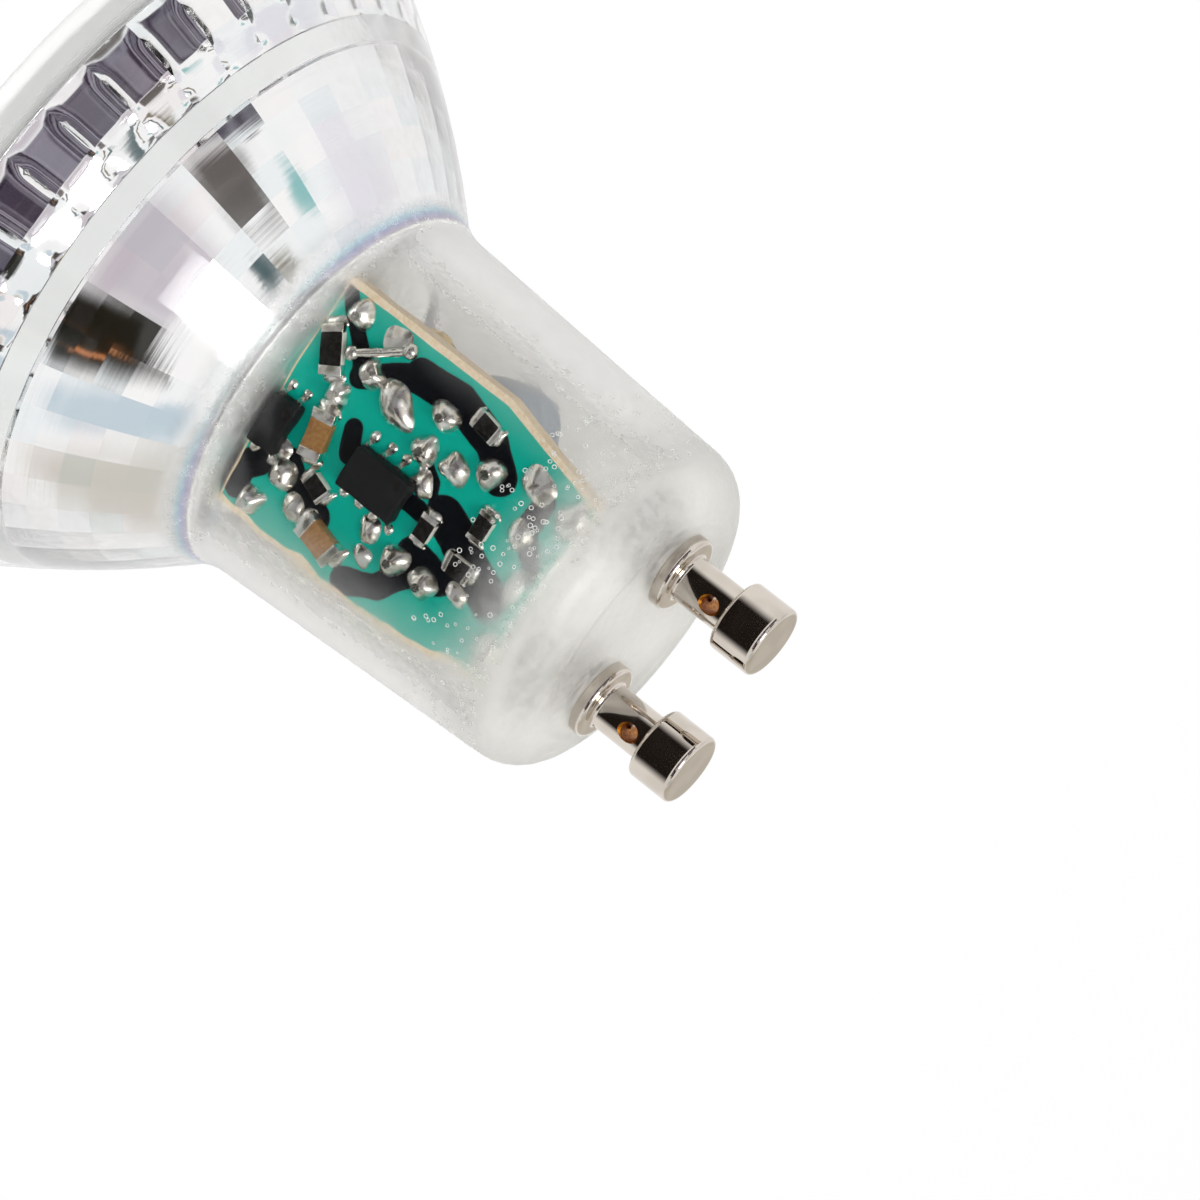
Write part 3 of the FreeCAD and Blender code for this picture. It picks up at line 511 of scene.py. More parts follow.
def bowl_grid():
    """Radius and height grids of the facet rows, throat first.

    Corner radius runs straight from throat to band plus a swell of 4 * bulge * share * (1 - share), sampled
    at whole rows, so a bare facet is flat. The mould's facets are part of the way to round: each is drawn
    out towards the smooth bowl by its own seeded amount, which leaves faint steps from one to the next.
    Beside the band the last ring turns in a little, as a lip that catches the light.
    """
    rows = np.arange(BOWL_ROWS + 1) / BOWL_ROWS
    share = np.arange(BOWL_ROWS * ALONG + 1) / (BOWL_ROWS * ALONG)

    def corner_radius(share):
        return THROAT_RADIUS + (BOWL_RADIUS - THROAT_RADIUS) * share + 4 * BOWL_BULGE * share * (1 - share)

    flat = forty_sided(np.interp(share, rows, corner_radius(rows)))
    smooth = corner_radius(share)[:, None]
    drawn = np.random.default_rng(11).uniform(*FACET_ROUNDNESS, (BOWL_ROWS, FACETS))
    row_number = np.minimum(np.arange(len(share)) // ALONG, BOWL_ROWS - 1)
    radius = flat + (smooth - flat) * drawn[row_number][:, np.arange(COLUMNS) // ACROSS]
    radius[-1] -= BOWL_LIP
    return radius, (LEDGE_HEIGHT + (BAND_HEIGHT - LEDGE_HEIGHT) * share)[:, None]


def flute_grid():
    """Radius and height grids of the flutes, band first.

    Each flute is part of the way to round, and near the band it ends in a nose: with s the share of the
    nose's length, a little more at the flute's borders, the radius falls by the step to the band times
    s^1.15. Flutes meet in a rounded ridge, which rises with the sixth power of the share of half a flute's
    width and fades at both ends.
    """
    share = 0.5 - 0.5 * np.cos(np.pi * np.linspace(0, 1, FLUTE_STEPS))
    line = FLUTE_RADIUS + (FLUTE_FRONT_RADIUS - FLUTE_RADIUS) * share
    foot = BAND_HEIGHT - BAND_WIDTH
    height = foot + (LENS_SEAT - foot) * share
    flat = forty_sided(line)
    drawn = np.random.default_rng(12).uniform(*FLUTE_ROUNDNESS, FACETS)[np.arange(COLUMNS) // ACROSS]
    nose = np.clip(1 - (foot - height) / NOSE_LONG, 0, 1)[:, None] * (1 + 0.5 * side_share**6)
    fall = (FLUTE_RADIUS - BAND_RADIUS) * np.clip(nose, 0, 1) ** NOSE_POWER
    inner_end = np.clip((foot - height) / NOSE_LONG, 0, 1)
    front_end = np.clip((height - LENS_SEAT) / RIDGE_FADE, 0, 1)
    ridge = RIDGE_HIGH * (inner_end * front_end)[:, None] * side_share**6
    return flat + (line[:, None] - flat) * drawn - fall + ridge, height[:, None]


def slow_waves(height, size, depth, seed, count=14):
    """Gentle unevenness of a pressed surface: a few seeded waves round and along it, of a size in mm."""
    rng = np.random.default_rng(seed)
    rise = np.zeros((len(height), COLUMNS))
    for _ in range(count):
        turns = rng.integers(2, int(2 * np.pi * 12 / size))
        length = size * rng.uniform(0.8, 2.5)
        way = rng.choice((-1, 1))
        rise += np.cos(turns * angle + rng.uniform(0, 6.3) + way * 2 * np.pi * height[:, None] / length)
    return depth * rise / np.sqrt(count)


print("section of", RIM_RADIUS, "by", BODY_HEIGHT, "mm")

# %% [markdown]
# The glass itself is clear. The cup is fire-polished and smooth, and the neck is frosted: thinly over the
# board, fully at its sides, and most round the shoulder and along the root. One number, the frost, is put
# together from heights and from the side that a point faces. Roughness, milkiness and a fine bump all
# follow it. Light must reach the board inside, so shadow rays pass through.

# %% Glass finish
THIN_FROST_WAY = (-0.26, -0.966, 0.0)
THIN_FROST_HALF, FULL_FROST_HALF = 44.0, 68.0
FROST_FOOT, FROST_GRIT, FROST_DEEP = 19.5, 0.7, 0.04
# Each share of frost climbs between two heights, up to a most.
FROST_SHARES = (
    ("haze", (37.5, 45.4), 0.85),
    ("rim", (3.6, 2.2), 0.6),
    ("neck", (FROST_FOOT - 0.6, FROST_FOOT + 1.2), 1.0),
    ("sides on the cup", (FROST_FOOT, FROST_FOOT + 2.5), 0.7),
    ("root foot", (18.2, 19.3), 0.5),
    ("root head", (21.5, 20.5), 1.0),
)

# Pressed glass with a sandblasted neck: clear where it is smooth, a soft white veil where it is frosted.
# The frost's grit is drawn coarser than the real one, so that it shows.
glass, tree, shader = new_material("pressed glass, frosted neck", Transmission_Weight=1.0, IOR=1.5)
place, height = object_place(tree)
level = add_node(tree, "VectorMath", {0: place, 1: (1, 1, 0)}, operation="MULTIPLY")
level = add_node(tree, "VectorMath", {0: level}, operation="NORMALIZE")
facing = add_node(tree, "VectorMath", {0: level, 1: THIN_FROST_WAY}, operation="DOT_PRODUCT")
side_ends = np.cos(np.radians((THIN_FROST_HALF, FULL_FROST_HALF)))
spans = [("sides", facing.outputs["Value"], *side_ends, 1.0)]
spans += [(name, height, low * MM, high * MM, most) for name, (low, high), most in FROST_SHARES]
masks = {}
for name, value, start, end, most in spans:
    ends = {"Value": value, "From Min": start, "From Max": end, "To Max": most}
    masks[name] = add_node(tree, "MapRange", ends, interpolation_type="SMOOTHSTEP")
share = add_node(tree, "Math", {0: masks["sides on the cup"], 1: 0.3})
sides = add_node(tree, "Math", {0: masks["sides"], 1: share}, operation="MULTIPLY")
root = add_node(tree, "Math", {0: masks["root foot"], 1: masks["root head"]}, operation="MULTIPLY")
thick = add_node(tree, "Math", {0: masks["haze"], 1: root}, operation="MAXIMUM")
cover = add_node(tree, "Math", {0: sides, 1: thick}, operation="MAXIMUM")
grit = {"Vector": place, "Scale": per_mm(FROST_GRIT), "Detail": 3.0, "Roughness": 0.6}
grit = add_node(tree, "TexNoise", grit)
uneven = {"Value": grit, "From Min": 0.3, "From Max": 0.7, "To Min": 0.7, "To Max": 1.15}
frost = add_node(tree, "Math", {0: cover, 1: add_node(tree, "MapRange", uneven)}, operation="MULTIPLY")
frost = add_node(tree, "Math", {0: frost, 1: masks["rim"]}, operation="MAXIMUM")
milk = add_node(tree, "Math", {0: masks["neck"], 1: masks["haze"]})
milk = add_node(tree, "Math", {0: milk, 1: 0.5}, operation="MULTIPLY")
tones = ((0.0, "#FBFBFA"), (0.5, "#FCFBF9"), (0.92, "#E0DFDB"))
frost_bump = {"Height": grit, "Distance": FROST_DEEP * MM, "Strength": frost}
frosted = {
    "Roughness": add_node(tree, "MapRange", {"Value": frost, "To Min": 0.04, "To Max": 0.48}),
    "Transmission Weight": add_node(tree, "MapRange", {"Value": frost, "To Min": 1.0, "To Max": 0.48}),
    "Base Color": add_node(tree, "ValToRGB", {"Fac": milk}, tones),
    "Normal": add_node(tree, "Bump", frost_bump),
}
set_inputs(shader, frosted)


def let_light_in(tree, shader, tint):
    """Lets shadow rays pass a glass shader, so that lamps reach what stands behind it."""
    shadow = add_node(tree, "LightPath").outputs["Is Shadow Ray"]
    clear = add_node(tree, "BsdfTransparent", {"Color": linear(tint)})
    show(tree, add_node(tree, "MixShader", {0: shadow, 1: shader, 2: clear}))


let_light_in(tree, shader, "#FBFBF8")

# Clear pressed glass: bright edges, and what lies behind it bent by its slow waves.
clear_glass, tree, shader = new_material(
    "clear pressed lens", Base_Color=linear("#FAFCFB"), Transmission_Weight=1.0, IOR=1.5, Roughness=0.02
)
grain(tree, shader, 4.0, 0.01)
let_light_in(tree, shader, "#F6F8F7")
dress(clear_glass, "front_lens")
print("glass finishes:", glass.name, "and", clear_glass.name)

# %% The glass envelope
STEP = 0.55
BEAD_RADIUS, BEAD_HALF, BEAD_HIGH = 8.45, 0.22, 0.08
# The cup swells square to the straight line from rim to root.
CUP_SWELL, CUP_OUT = 0.69, (0.8136, 0.5815)
cup = []
for s in np.linspace(0, 1, 9)[1:-1]:
    bulge = 4 * CUP_SWELL * s * (1 - s)
    radius = RIM_RADIUS + (ROOT_RADIUS - RIM_RADIUS) * s + bulge * CUP_OUT[0]
    cup.append((radius, RIM_HEIGHT + (ROOT_HEIGHT - RIM_HEIGHT) * s + bulge * CUP_OUT[1], 0.0))
outside = section(
    [
        (0, BODY_HEIGHT, 0),
        (BEAD_RADIUS - BEAD_HALF, BODY_HEIGHT, 0),
        (BEAD_RADIUS, BODY_HEIGHT + BEAD_HIGH, 0),
        (BEAD_RADIUS + BEAD_HALF, BODY_HEIGHT, 0),
        (NECK_END_RADIUS, BODY_HEIGHT, SHOULDER_ROUND),
        (ROOT_RADIUS, ROOT_HEIGHT, ROOT_ROUND),
        *cup[::-1],
        (RIM_RADIUS, RIM_HEIGHT, 0),
        (RIM_RADIUS, 0, RIM_ROUND),
        (LENS_POCKET_RADIUS, 0, 0.3),
        (LENS_POCKET_RADIUS, LENS_SEAT, 0),
        (FLUTE_FRONT_RADIUS, LENS_SEAT, 0),
    ],
    STEP,
)
inside = section(
    [
        (BORE_RADIUS, LEDGE_HEIGHT, 0.3),
        (BORE_RADIUS - 0.001, LEDGE_HEIGHT, 0.0),
        (BORE_END_RADIUS, BODY_HEIGHT - END_WALL, 1.2),
        (0, BODY_HEIGHT - END_WALL, 0),
    ],
    STEP,
)
bowl_radius, bowl_height = bowl_grid()
flute_radius, flute_height = flute_grid()
whole = np.ones(COLUMNS)
on_neck = np.clip((outside[:, 1] - FROST_FOOT) / 4, 0, 1)[:, None] * np.clip(outside[:, :1] / 8, 0, 1)
outer_waves = np.abs(slow_waves(outside[:, 1], 3.2, 0.008, 3)) * on_neck
inner_waves = slow_waves(inside[:, 1], 2.6, 0.012, 5) * np.clip(inside[:, :1] / 8, 0, 1)
band_rows = np.linspace(0, 1, 4)
band_radius = (BAND_RADIUS + (BOWL_RADIUS - BAND_RADIUS) * band_rows)[:, None]
band_height = (BAND_HEIGHT - BAND_WIDTH + BAND_WIDTH * band_rows)[:, None]
glass_radius = np.concatenate(
    [
        outside[:, :1] * whole - outer_waves,
        flute_radius[::-1],
        band_radius * whole,
        bowl_radius[::-1],
        inside[:, :1] * whole + inner_waves,
    ]
)
glass_height = np.concatenate(
    [outside[:, 1:], flute_height[::-1], band_height, bowl_height[::-1], inside[:, 1:]]
)
skin = (*around(glass_radius, glass_height, angle), glass)
make_piece("glass_envelope", [skin], ["glass_body"], 50)

# %% [markdown]
# Where the neck was sealed round the pins, the hot glass blistered. The burst blisters are small craters,
# and their milky rims show as bright rings. They could be a bump, but a ring this small needs a sharp
# edge, so each is a real rim: one small ring, copied to seeded places and laid on the skin's slope.

# %% Blisters
BLISTER_COUNT, BLISTER_SIDES, BLISTER_BEAD = 620, 14, 0.2
BLISTER_HEIGHTS, BLISTER_SIZES = (37.0, 43.2), (0.07, 0.15)

# Burst glass, fused milky: a small white glint on the frost.
milky = finish(
    "milky blister rim", "#EFEEE9", "#FBFBF9", 0.1, 0.004, 0.2, 0.4, 1.0, Transmission_Weight=0.4, IOR=1.5
)


def blisters(seed):
    """Points and faces of all the rims: a ring of unit radius carried to each place by three directions."""
    rng = np.random.default_rng(seed)
    wall = full_turn(6)[:, None]
    ring = 1 + BLISTER_BEAD * np.cos(wall) + np.zeros(BLISTER_SIDES)
    bead, faces = hollow(ring, BLISTER_BEAD * np.sin(wall), full_turn(BLISTER_SIDES))
    swing = rng.uniform(0, 2 * np.pi, BLISTER_COUNT)
    low, high = BLISTER_HEIGHTS
    rise = high - (high - low) * rng.uniform(0, 1, BLISTER_COUNT) ** 1.5
    size = rng.uniform(*BLISTER_SIZES, BLISTER_COUNT)[:, None, None]
    taper = (ROOT_RADIUS - NECK_END_RADIUS) / (BODY_HEIGHT - ROOT_HEIGHT)
    radius = NECK_END_RADIUS + (BODY_HEIGHT - rise) * taper
    out = np.stack([np.cos(swing), np.sin(swing), 0 * swing + taper], -1) / np.hypot(1, taper)
    across = np.stack([-np.sin(swing), np.cos(swing), 0 * swing], -1)
    up = np.cross(out, across)
    centre = np.stack([radius * np.cos(swing), radius * np.sin(swing), rise], -1)
    spread = bead[:, :1] * across[:, None] + bead[:, 1:2] * up[:, None] + bead[:, 2:] * out[:, None]
    points = (centre[:, None] + size * spread).reshape(-1, 3)
    starts = [len(bead) * number for number in range(BLISTER_COUNT)]
    return points, [[corner + start for corner in face] for start in starts for face in faces]


make_piece("neck_blisters", [(*blisters(31), milky)], sharp=180)

# %% [markdown]
# ## Mirror coat
#
# Aluminium is evaporated on the inside of the cup, so the mirror follows each facet exactly and takes its
# shine from the glass. It is a skin far thinner than it can be drawn: here a closed shell that straddles
# the inner face of the glass, so that no air shows between them. Its facets keep sharp edges and are a
# little rounded, and the flutes end in round noses beside the plain band. At the throat the coat thins
# out, and a film that thin shows colours: cyan, then blue, then violet. The colour therefore follows
# height there.

# %% Mirror finish
FILM_WIDTH, FILM_MIDDLE, FILM_CLEAR, FILM_FULL = 1.3, -3.0, 3.0, 7.5
STREAK_LONG, STREAK_WIDE, STREAK_DEEP = 14.0, 0.22, 0.002

# Evaporated aluminium: a bright mirror, whose facets carry faint pale blue and pink tints, a painted
# reflection of coloured surroundings. Its fine streaks are drawn coarser than the real ones, so that they
# show.
mirror, tree, shader = new_material("evaporated aluminium mirror", Metallic=1.0, Roughness=0.05)
place, height = object_place(tree)
ends = {"Value": height, "From Min": (LEDGE_HEIGHT - FILM_WIDTH) * MM, "From Max": LEDGE_HEIGHT * MM}
near_throat = add_node(tree, "MapRange", ends)
tones = (
    (0.0, "#FFFFFF"),
    (0.3, "#E4E8EC"),
    (0.55, "#8FD4E8"),
    (0.75, "#6C8EE0"),
    (0.92, "#A284CC"),
    (1.0, "#CFC4DC"),
)
film_colour = add_node(tree, "ValToRGB", {"Fac": near_throat}, tones)
sideways = add_node(tree, "SeparateXYZ", {"Vector": place}).outputs["X"]
off = add_node(tree, "Math", {0: sideways, 1: FILM_MIDDLE * MM}, operation="SUBTRACT")
off = add_node(tree, "Math", {0: off}, operation="ABSOLUTE")
ends = {"Value": off, "From Min": FILM_CLEAR * MM, "From Max": FILM_FULL * MM, "To Min": 0.1, "To Max": 0.85}
film_share = add_node(tree, "MapRange", ends)
# Each facet's seeded number picks a faint tint: painted reflection of pale surroundings, not a colour of the
# aluminium.
tone = add_node(tree, "Attribute", attribute_name="facet").outputs["Fac"]
tones = ((0.0, "#EFF3F5"), (0.35, "#F7F7F8"), (0.7, "#FBFAFA"), (1.0, "#F7F3F4"))
painted_reflection_tint = add_node(tree, "ValToRGB", {"Fac": tone}, tones)
layers = {0: film_share, 6: painted_reflection_tint, 7: film_colour}
toned = add_node(tree, "Mix", layers, data_type="RGBA", blend_type="MULTIPLY").outputs[2]
stretch = {"Vector": place, "Scale": (per_mm(STREAK_LONG), per_mm(STREAK_LONG), per_mm(STREAK_WIDE))}
lines = {"Vector": add_node(tree, "Mapping", stretch), "Scale": 1.0, "Detail": 1.0}
streak = {"Height": add_node(tree, "TexNoise", lines), "Distance": STREAK_DEEP * MM, "Strength": 1.0}
set_inputs(shader, {"Base Color": toned, "Normal": add_node(tree, "Bump", streak)})
print("mirror finish:", mirror.name)

# %% Mirror skin
COAT_OUT, COAT_IN = 0.03, 0.09
shells = []
for radius, height in (bowl_grid(), flute_grid()):
    skin_radius = np.concatenate([radius + COAT_OUT, radius[::-1] - COAT_IN])
    skin_height = np.concatenate([height, height[::-1]])
    shells.append((*hollow(skin_radius, skin_height, angle), mirror))
coat = make_piece("mirror_coat", shells, ["mirror_coating"], 60)


def sharpen_facets(piece):
    """Marks as sharp the edges on a facet's border: columns at corners, rows at whole facets and the lip."""
    mesh = piece.data
    ends = np.empty(len(mesh.edges) * 2, int)
    mesh.edges.foreach_get("vertices", ends)
    ends = ends.reshape(-1, 2)
    column, row = ends % COLUMNS, ends // COLUMNS
    on_corner = (column % ACROSS == 0).all(axis=1) & (column[:, 0] == column[:, 1])
    bowl_rows = 2 * (BOWL_ROWS * ALONG + 1)
    row = np.where(row < bowl_rows // 2, row, bowl_rows - 1 - row)
    border = (row % ALONG == 0) | (row == BOWL_ROWS * ALONG - 1)
    on_row = border.all(axis=1) & (row[:, 0] == row[:, 1]) & (ends.max(axis=1) < bowl_rows * COLUMNS)
    marks = mesh.attributes.get("sharp_edge") or mesh.attributes.new("sharp_edge", "BOOLEAN", "EDGE")
    kept = np.zeros(len(mesh.edges), bool)
    marks.data.foreach_get("value", kept)
    marks.data.foreach_set("value", kept | on_corner | on_row)


def tone_facets(piece, seed):
    """Gives each facet and flute one seeded number between 0 and 1, kept on its faces."""
    mesh = piece.data
    first = np.empty(len(mesh.polygons), int)
    mesh.polygons.foreach_get("loop_start", first)
    corner = np.empty(len(mesh.loops), int)
    mesh.loops.foreach_get("vertex_index", corner)
    corners = corner[first[:, None] + np.arange(4)]
    column = np.where(np.ptp(corners % COLUMNS, axis=1) > 1, COLUMNS - 1, (corners % COLUMNS).min(axis=1))
    row = corners.min(axis=1) // COLUMNS
    tones = np.random.default_rng(seed).uniform(0, 1, (row.max() // ALONG + 1, FACETS))
    facet = tones[row // ALONG, column // ACROSS]
    mesh.attributes.new("facet", "FLOAT", "FACE").data.foreach_set("value", facet)


sharpen_facets(coat)
tone_facets(coat, 21)

# %% [markdown]
# ## Contact pins
#
# Each pin is turned from brass and plated with bright nickel: a flange on the glass, a shank with a cross
# hole, and a thick head that locks in the holder. The plating stops inside the hole, where brass shows.
# The shape is one turned section with rounded edges, and the hole is cut through it with a boolean, which
# keeps its rim crisp.

# %% Nickel pins
PIN_TOP = box("contact_pin_left")[1][2]
PIN_SHANK, PIN_FLANGE, PIN_FLANGE_HIGH = 1.6, 2.64, 0.93
PIN_HEAD, PIN_HEAD_LONG, PIN_ROUND = 2.5, 3.2, 0.3
PIN_RIVET, PIN_RIVET_HIGH = 2.2, 0.4
VENT_RADIUS, VENT_MOUTH, VENT_HEIGHT = 0.6, 0.85, 3.6

# Bright nickel plate: a warm mirror with soft edges to its reflections.
nickel = finish("bright nickel plate", "#CCC3B8", "#D6CDC3", 1.4, 0.001, 0.05, 0.065, 0.0, Metallic=1.0)
# Drilled brass, left bare: an amber glow deep in the hole.
brass = finish("raw brass bore", "#B87A28", "#8F4F14", 0.2, 0.01, 0.3, 0.45, Metallic=1.0)

pin_section = [
    (0, PIN_TOP, 0),
    (PIN_HEAD, PIN_TOP, PIN_ROUND),
    (PIN_HEAD, PIN_TOP - PIN_HEAD_LONG, PIN_ROUND),
    (PIN_SHANK, PIN_TOP - PIN_HEAD_LONG, 0.12),
    (PIN_SHANK, BODY_HEIGHT + PIN_FLANGE_HIGH, 0.25),
    (PIN_FLANGE, BODY_HEIGHT + PIN_FLANGE_HIGH, PIN_ROUND),
    (PIN_FLANGE, BODY_HEIGHT, 0.1),
    (PIN_SHANK, BODY_HEIGHT, 0),
    (PIN_SHANK, BODY_HEIGHT - END_WALL, 0),
    (PIN_RIVET, BODY_HEIGHT - END_WALL, 0.1),
    (PIN_RIVET, BODY_HEIGHT - END_WALL - PIN_RIVET_HIGH, 0.15),
    (0, BODY_HEIGHT - END_WALL - PIN_RIVET_HIGH, 0),
]
vent_half = [(0, 3, 0), (VENT_MOUTH, 3, 0), (VENT_MOUTH, 1.68, 0), (VENT_RADIUS, 1.42, 0)]
vent_path = section([*vent_half, *[(radius, -high, 0) for radius, high, _ in vent_half[::-1]]], 0.3)
for side in ("left", "right"):
    x, y, _ = middle(f"contact_pin_{side}")
    points, faces = turned(pin_section, 0.12, 96)
    parts = [(points + [x, y, 0], faces, nickel)]
    pin = make_piece(f"nickel_pin_{side}", parts, [f"contact_pin_{side}"], 35)
    points, faces = around(vent_path[:, :1], vent_path[:, 1:], full_turn(40))
    points = points[:, [0, 2, 1]] + [x, y, BODY_HEIGHT + VENT_HEIGHT]
    drill = place_mesh("vent", points, outward(points, faces), brass)
    bore = pin.modifiers.new("cross hole", "BOOLEAN")
    bore.operation = "DIFFERENCE"
    bore.object = drill
    bore.material_mode = "TRANSFER"
    drilled = bpy.data.meshes.new_from_object(pin.evaluated_get(bpy.context.evaluated_depsgraph_get()))
    pin.modifiers.clear()
    pin.data = drilled
    bpy.data.objects.remove(drill)
    print(pin.name, "drilled:", len(drilled.polygons), "faces")

# %% [markdown]
# ## Driver board
#
# The board is glass-fibre laminate: beige at its sawn edges, teal solder mask on its faces. Copper under
# the mask shows as near-black tracks that stand a little proud. A thin sheet on each face carries them:
# its height comes from the distance to the tracks' middle lines, raised by the copper's thickness inside
# half the width, and the same number is kept as an attribute that colours the mask. One sheet joins
# crossing tracks smoothly, which separate strips would not.

# %% Mask and laminate
# Screened solder mask: an even teal lacquer that turns near black over copper, with a slight shine.
mask, tree, shader = new_material(
    "teal solder mask over copper",
    Roughness=0.28,
    Coat_Weight=0.06,
    Coat_Roughness=0.1,
    Specular_IOR_Level=0.15,
)
track = add_node(tree, "Attribute", attribute_name="copper").outputs["Fac"]
wander = {0: grain(tree, shader, 0.5, 0.006), 1: 0.12, 2: -0.06}
edge = add_node(tree, "Math", {0: track, 1: add_node(tree, "Math", wander, operation="MULTIPLY_ADD")})
tones = ((0.0, "#00B09E"), (0.3, "#02A494"), (0.45, "#1E2A26"), (0.6, "#0C1119"), (1.0, "#080C13"))
set_inputs(shader, {"Base Color": add_node(tree, "ValToRGB", {"Fac": edge}, tones)})

# Sawn glass-fibre laminate: a dull, slightly furry beige edge.
laminate = finish("sawn glass-fibre laminate", "#E3CBA8", "#EFDFC6", 0.25, 0.01, 0.5, 0.75)
dress(laminate, "driver_board")
print("board finishes:", mask.name, "and", laminate.name)

# %% Board faces
(_, BOARD_FACE, _), (BOARD_HALF, BOARD_BACK, BOARD_HEAD) = box("driver_board")
HEAD_HALF, BOARD_TAPER = 6.6, 9.0
COPPER_HIGH, MASK_THICK, MASK_SUNK = 0.045, 0.008, 0.01
SHEET_CELL, MASK_GAP, MASK_FOOT = 0.13, 0.45, 1.1
# Each track: its width, and its corners across the board and up it.
SOLDER_SIDE_TRACKS = (
    (1.1, ((-8.0, 19.6), (-6.6, 21.2), (-5.2, 22.8), (-3.9, 23.6))),
    (1.5, ((-3.9, 23.6), (-5.2, 25.4), (-6.2, 27.0))),
    (2.2, ((-6.2, 27.0), (-6.5, 30.2), (-5.7, 33.4), (-4.3, 35.0))),
    (2.6, ((-0.2, 33.2), (0.4, 34.6), (1.6, 36.8), (2.4, 38.6))),
    (2.0, ((2.9, 32.6), (3.4, 35.0), (1.6, 36.8))),
    (1.6, ((3.2, 22.4), (4.4, 24.0), (5.0, 26.0))),
    (1.8, ((6.8, 20.0), (5.4, 19.9), (4.6, 20.6))),
    (1.7, ((7.4, 29.6), (6.3, 31.7), (4.4, 33.0))),
    (1.2, ((-1.0, 25.0), (0.6, 25.6), (0.6, 31.6))),
    (1.4, ((-4.8, 38.4), (-2.6, 38.2), (-0.6, 40.4))),
    (0.5, ((-2.1, 22.9), (-1.0, 23.4), (0.6, 23.3))),
    (0.5, ((-2.7, 29.8), (-1.6, 31.6), (1.2, 32.6))),
)
BACK_TRACKS = (
    (2.4, ((-6.0, 21.5), (-6.4, 27.0), (-5.0, 34.0))),
    (1.8, ((6.4, 20.6), (7.0, 28.0), (5.2, 36.0), (5.0, 40.6))),
    (1.4, ((-4.8, 40.6), (-1.0, 37.2), (3.0, 37.6))),
    (0.9, ((-1.0, 21.0), (0.4, 26.0), (-0.6, 33.0))),
)


def track_sheet(tracks, face, out):
    """A thin closed sheet on one face of the board, as points and faces, and its copper share.

    At each grid point the share of copper is 1 inside half a track's width and falls to 0 over a sheet cell.
    """
    rows = np.arange(box("heat_sink")[1][2] - MASK_FOOT, BOARD_HEAD - 0.05, SHEET_CELL)
    taper = np.clip((rows - BOARD_HEAD + BOARD_TAPER) / BOARD_TAPER, 0, 1)
    half = BOARD_HALF - MASK_GAP - taper * (BOARD_HALF - HEAD_HALF)
    share = np.linspace(-1, 1, int(2 * BOARD_HALF / SHEET_CELL))
    x, z = half[:, None] * share, rows[:, None] + 0 * share
    copper = np.zeros_like(x)
    for width, corners in tracks:
        for start, end in zip(np.array(corners), np.array(corners[1:])):
            run = end - start
            along = np.clip(((x - start[0]) * run[0] + (z - start[1]) * run[1]) / (run @ run), 0, 1)
            away = np.hypot(x - start[0] - along * run[0], z - start[1] - along * run[1])
            copper = np.maximum(copper, np.clip((width / 2 - away) / (2 * SHEET_CELL) + 0.5, 0, 1))
    rise = MASK_THICK + COPPER_HIGH * copper * copper * (3 - 2 * copper)
    border = np.ones_like(x, bool)
    border[1:-1, 1:-1] = False
    top = np.stack([x, face + out * np.where(border, 0.0, rise), z], -1)
    foot = np.stack([x, np.full_like(x, face - out * MASK_SUNK), z], -1)
    count, (high, wide) = x.size, x.shape
    quads = grid_faces(high, wide)
    first_column = np.arange(high - 1) * wide
    first_row = np.arange(wide - 1)
    rim = [first_row, first_column + wide - 1, count - 1 - first_row, first_column[::-1] + wide]
    rim = np.concatenate(rim)
    after = np.roll(rim, -1)
    walls = np.stack([after, rim, rim + count, after + count], -1)
    faces = np.concatenate([quads, quads[:, ::-1] + count, walls])
    points = np.concatenate([top.reshape(-1, 3), foot.reshape(-1, 3)])
    return points, faces.tolist(), np.concatenate([copper.ravel(), copper.ravel()])


for name, tracks, face, out in (
    ("solder_side_mask", SOLDER_SIDE_TRACKS, BOARD_FACE, -1),
    ("part_side_mask", BACK_TRACKS, BOARD_BACK, 1),
):
    points, faces, copper = track_sheet(tracks, face, out)
    sheet = make_piece(name, [(points, faces, mask)], sharp=80)
    sheet.data.attributes.new("copper", "FLOAT", "POINT").data.foreach_set("value", copper)

# %% [markdown]
# ## Solder and wire
#
# Molten solder wets the pad and climbs the lead, so each joint is a small volcano with a thin uneven foot,
# and where the iron lingered it runs into a lump. Every joint here is such a mound with its own seeded
# outline. Bright tin takes its look from what it mirrors, so the metal is smooth with a faint skin.

# %% A drop of solder


def mound(length, width, height, seed, columns=36):
    """A drop of solder on a plane, as (across, up, out): an uneven outline and a foot that runs out thin.

    Its height falls from the middle as (1 - share^2.2)^0.9, and its outline swells by a few slow waves.
    """
    rng = np.random.default_rng(seed)
    angle = full_turn(columns)
    swell = 1 + sum(rng.uniform(-0.09, 0.09) * np.cos(k * angle + rng.uniform(0, 6.3)) for k in (1, 2, 3, 4))
    share = np.sin(np.linspace(0, np.pi / 2, 12))[:, None]
    lean = rng.uniform(-0.12, 0.12, 2)
    profile = height * (1 - share**2.2) ** 0.9 * (1 + 0.12 * (swell - 1))
    across = share * swell * np.cos(angle) * width / 2 + lean[0] * profile
    up = share * swell * np.sin(angle) * length / 2 + lean[1] * profile
    points = np.stack([across, up, profile + 0 * angle], -1)
    under = np.stack([points[-1], points[0]]) * [1, 1, 0] - [0, 0, 0.02]
    return capped(np.concatenate([points, under]))


# %% Solder and wire finishes
# Solder that set from the melt: bright lumps, frosted where the skin wrinkled.
tin = finish("bright solder", "#D2CCC0", "#FCFBF9", 0.9, 0.06, 0.16, 0.36, 1.0, Metallic=1.0)
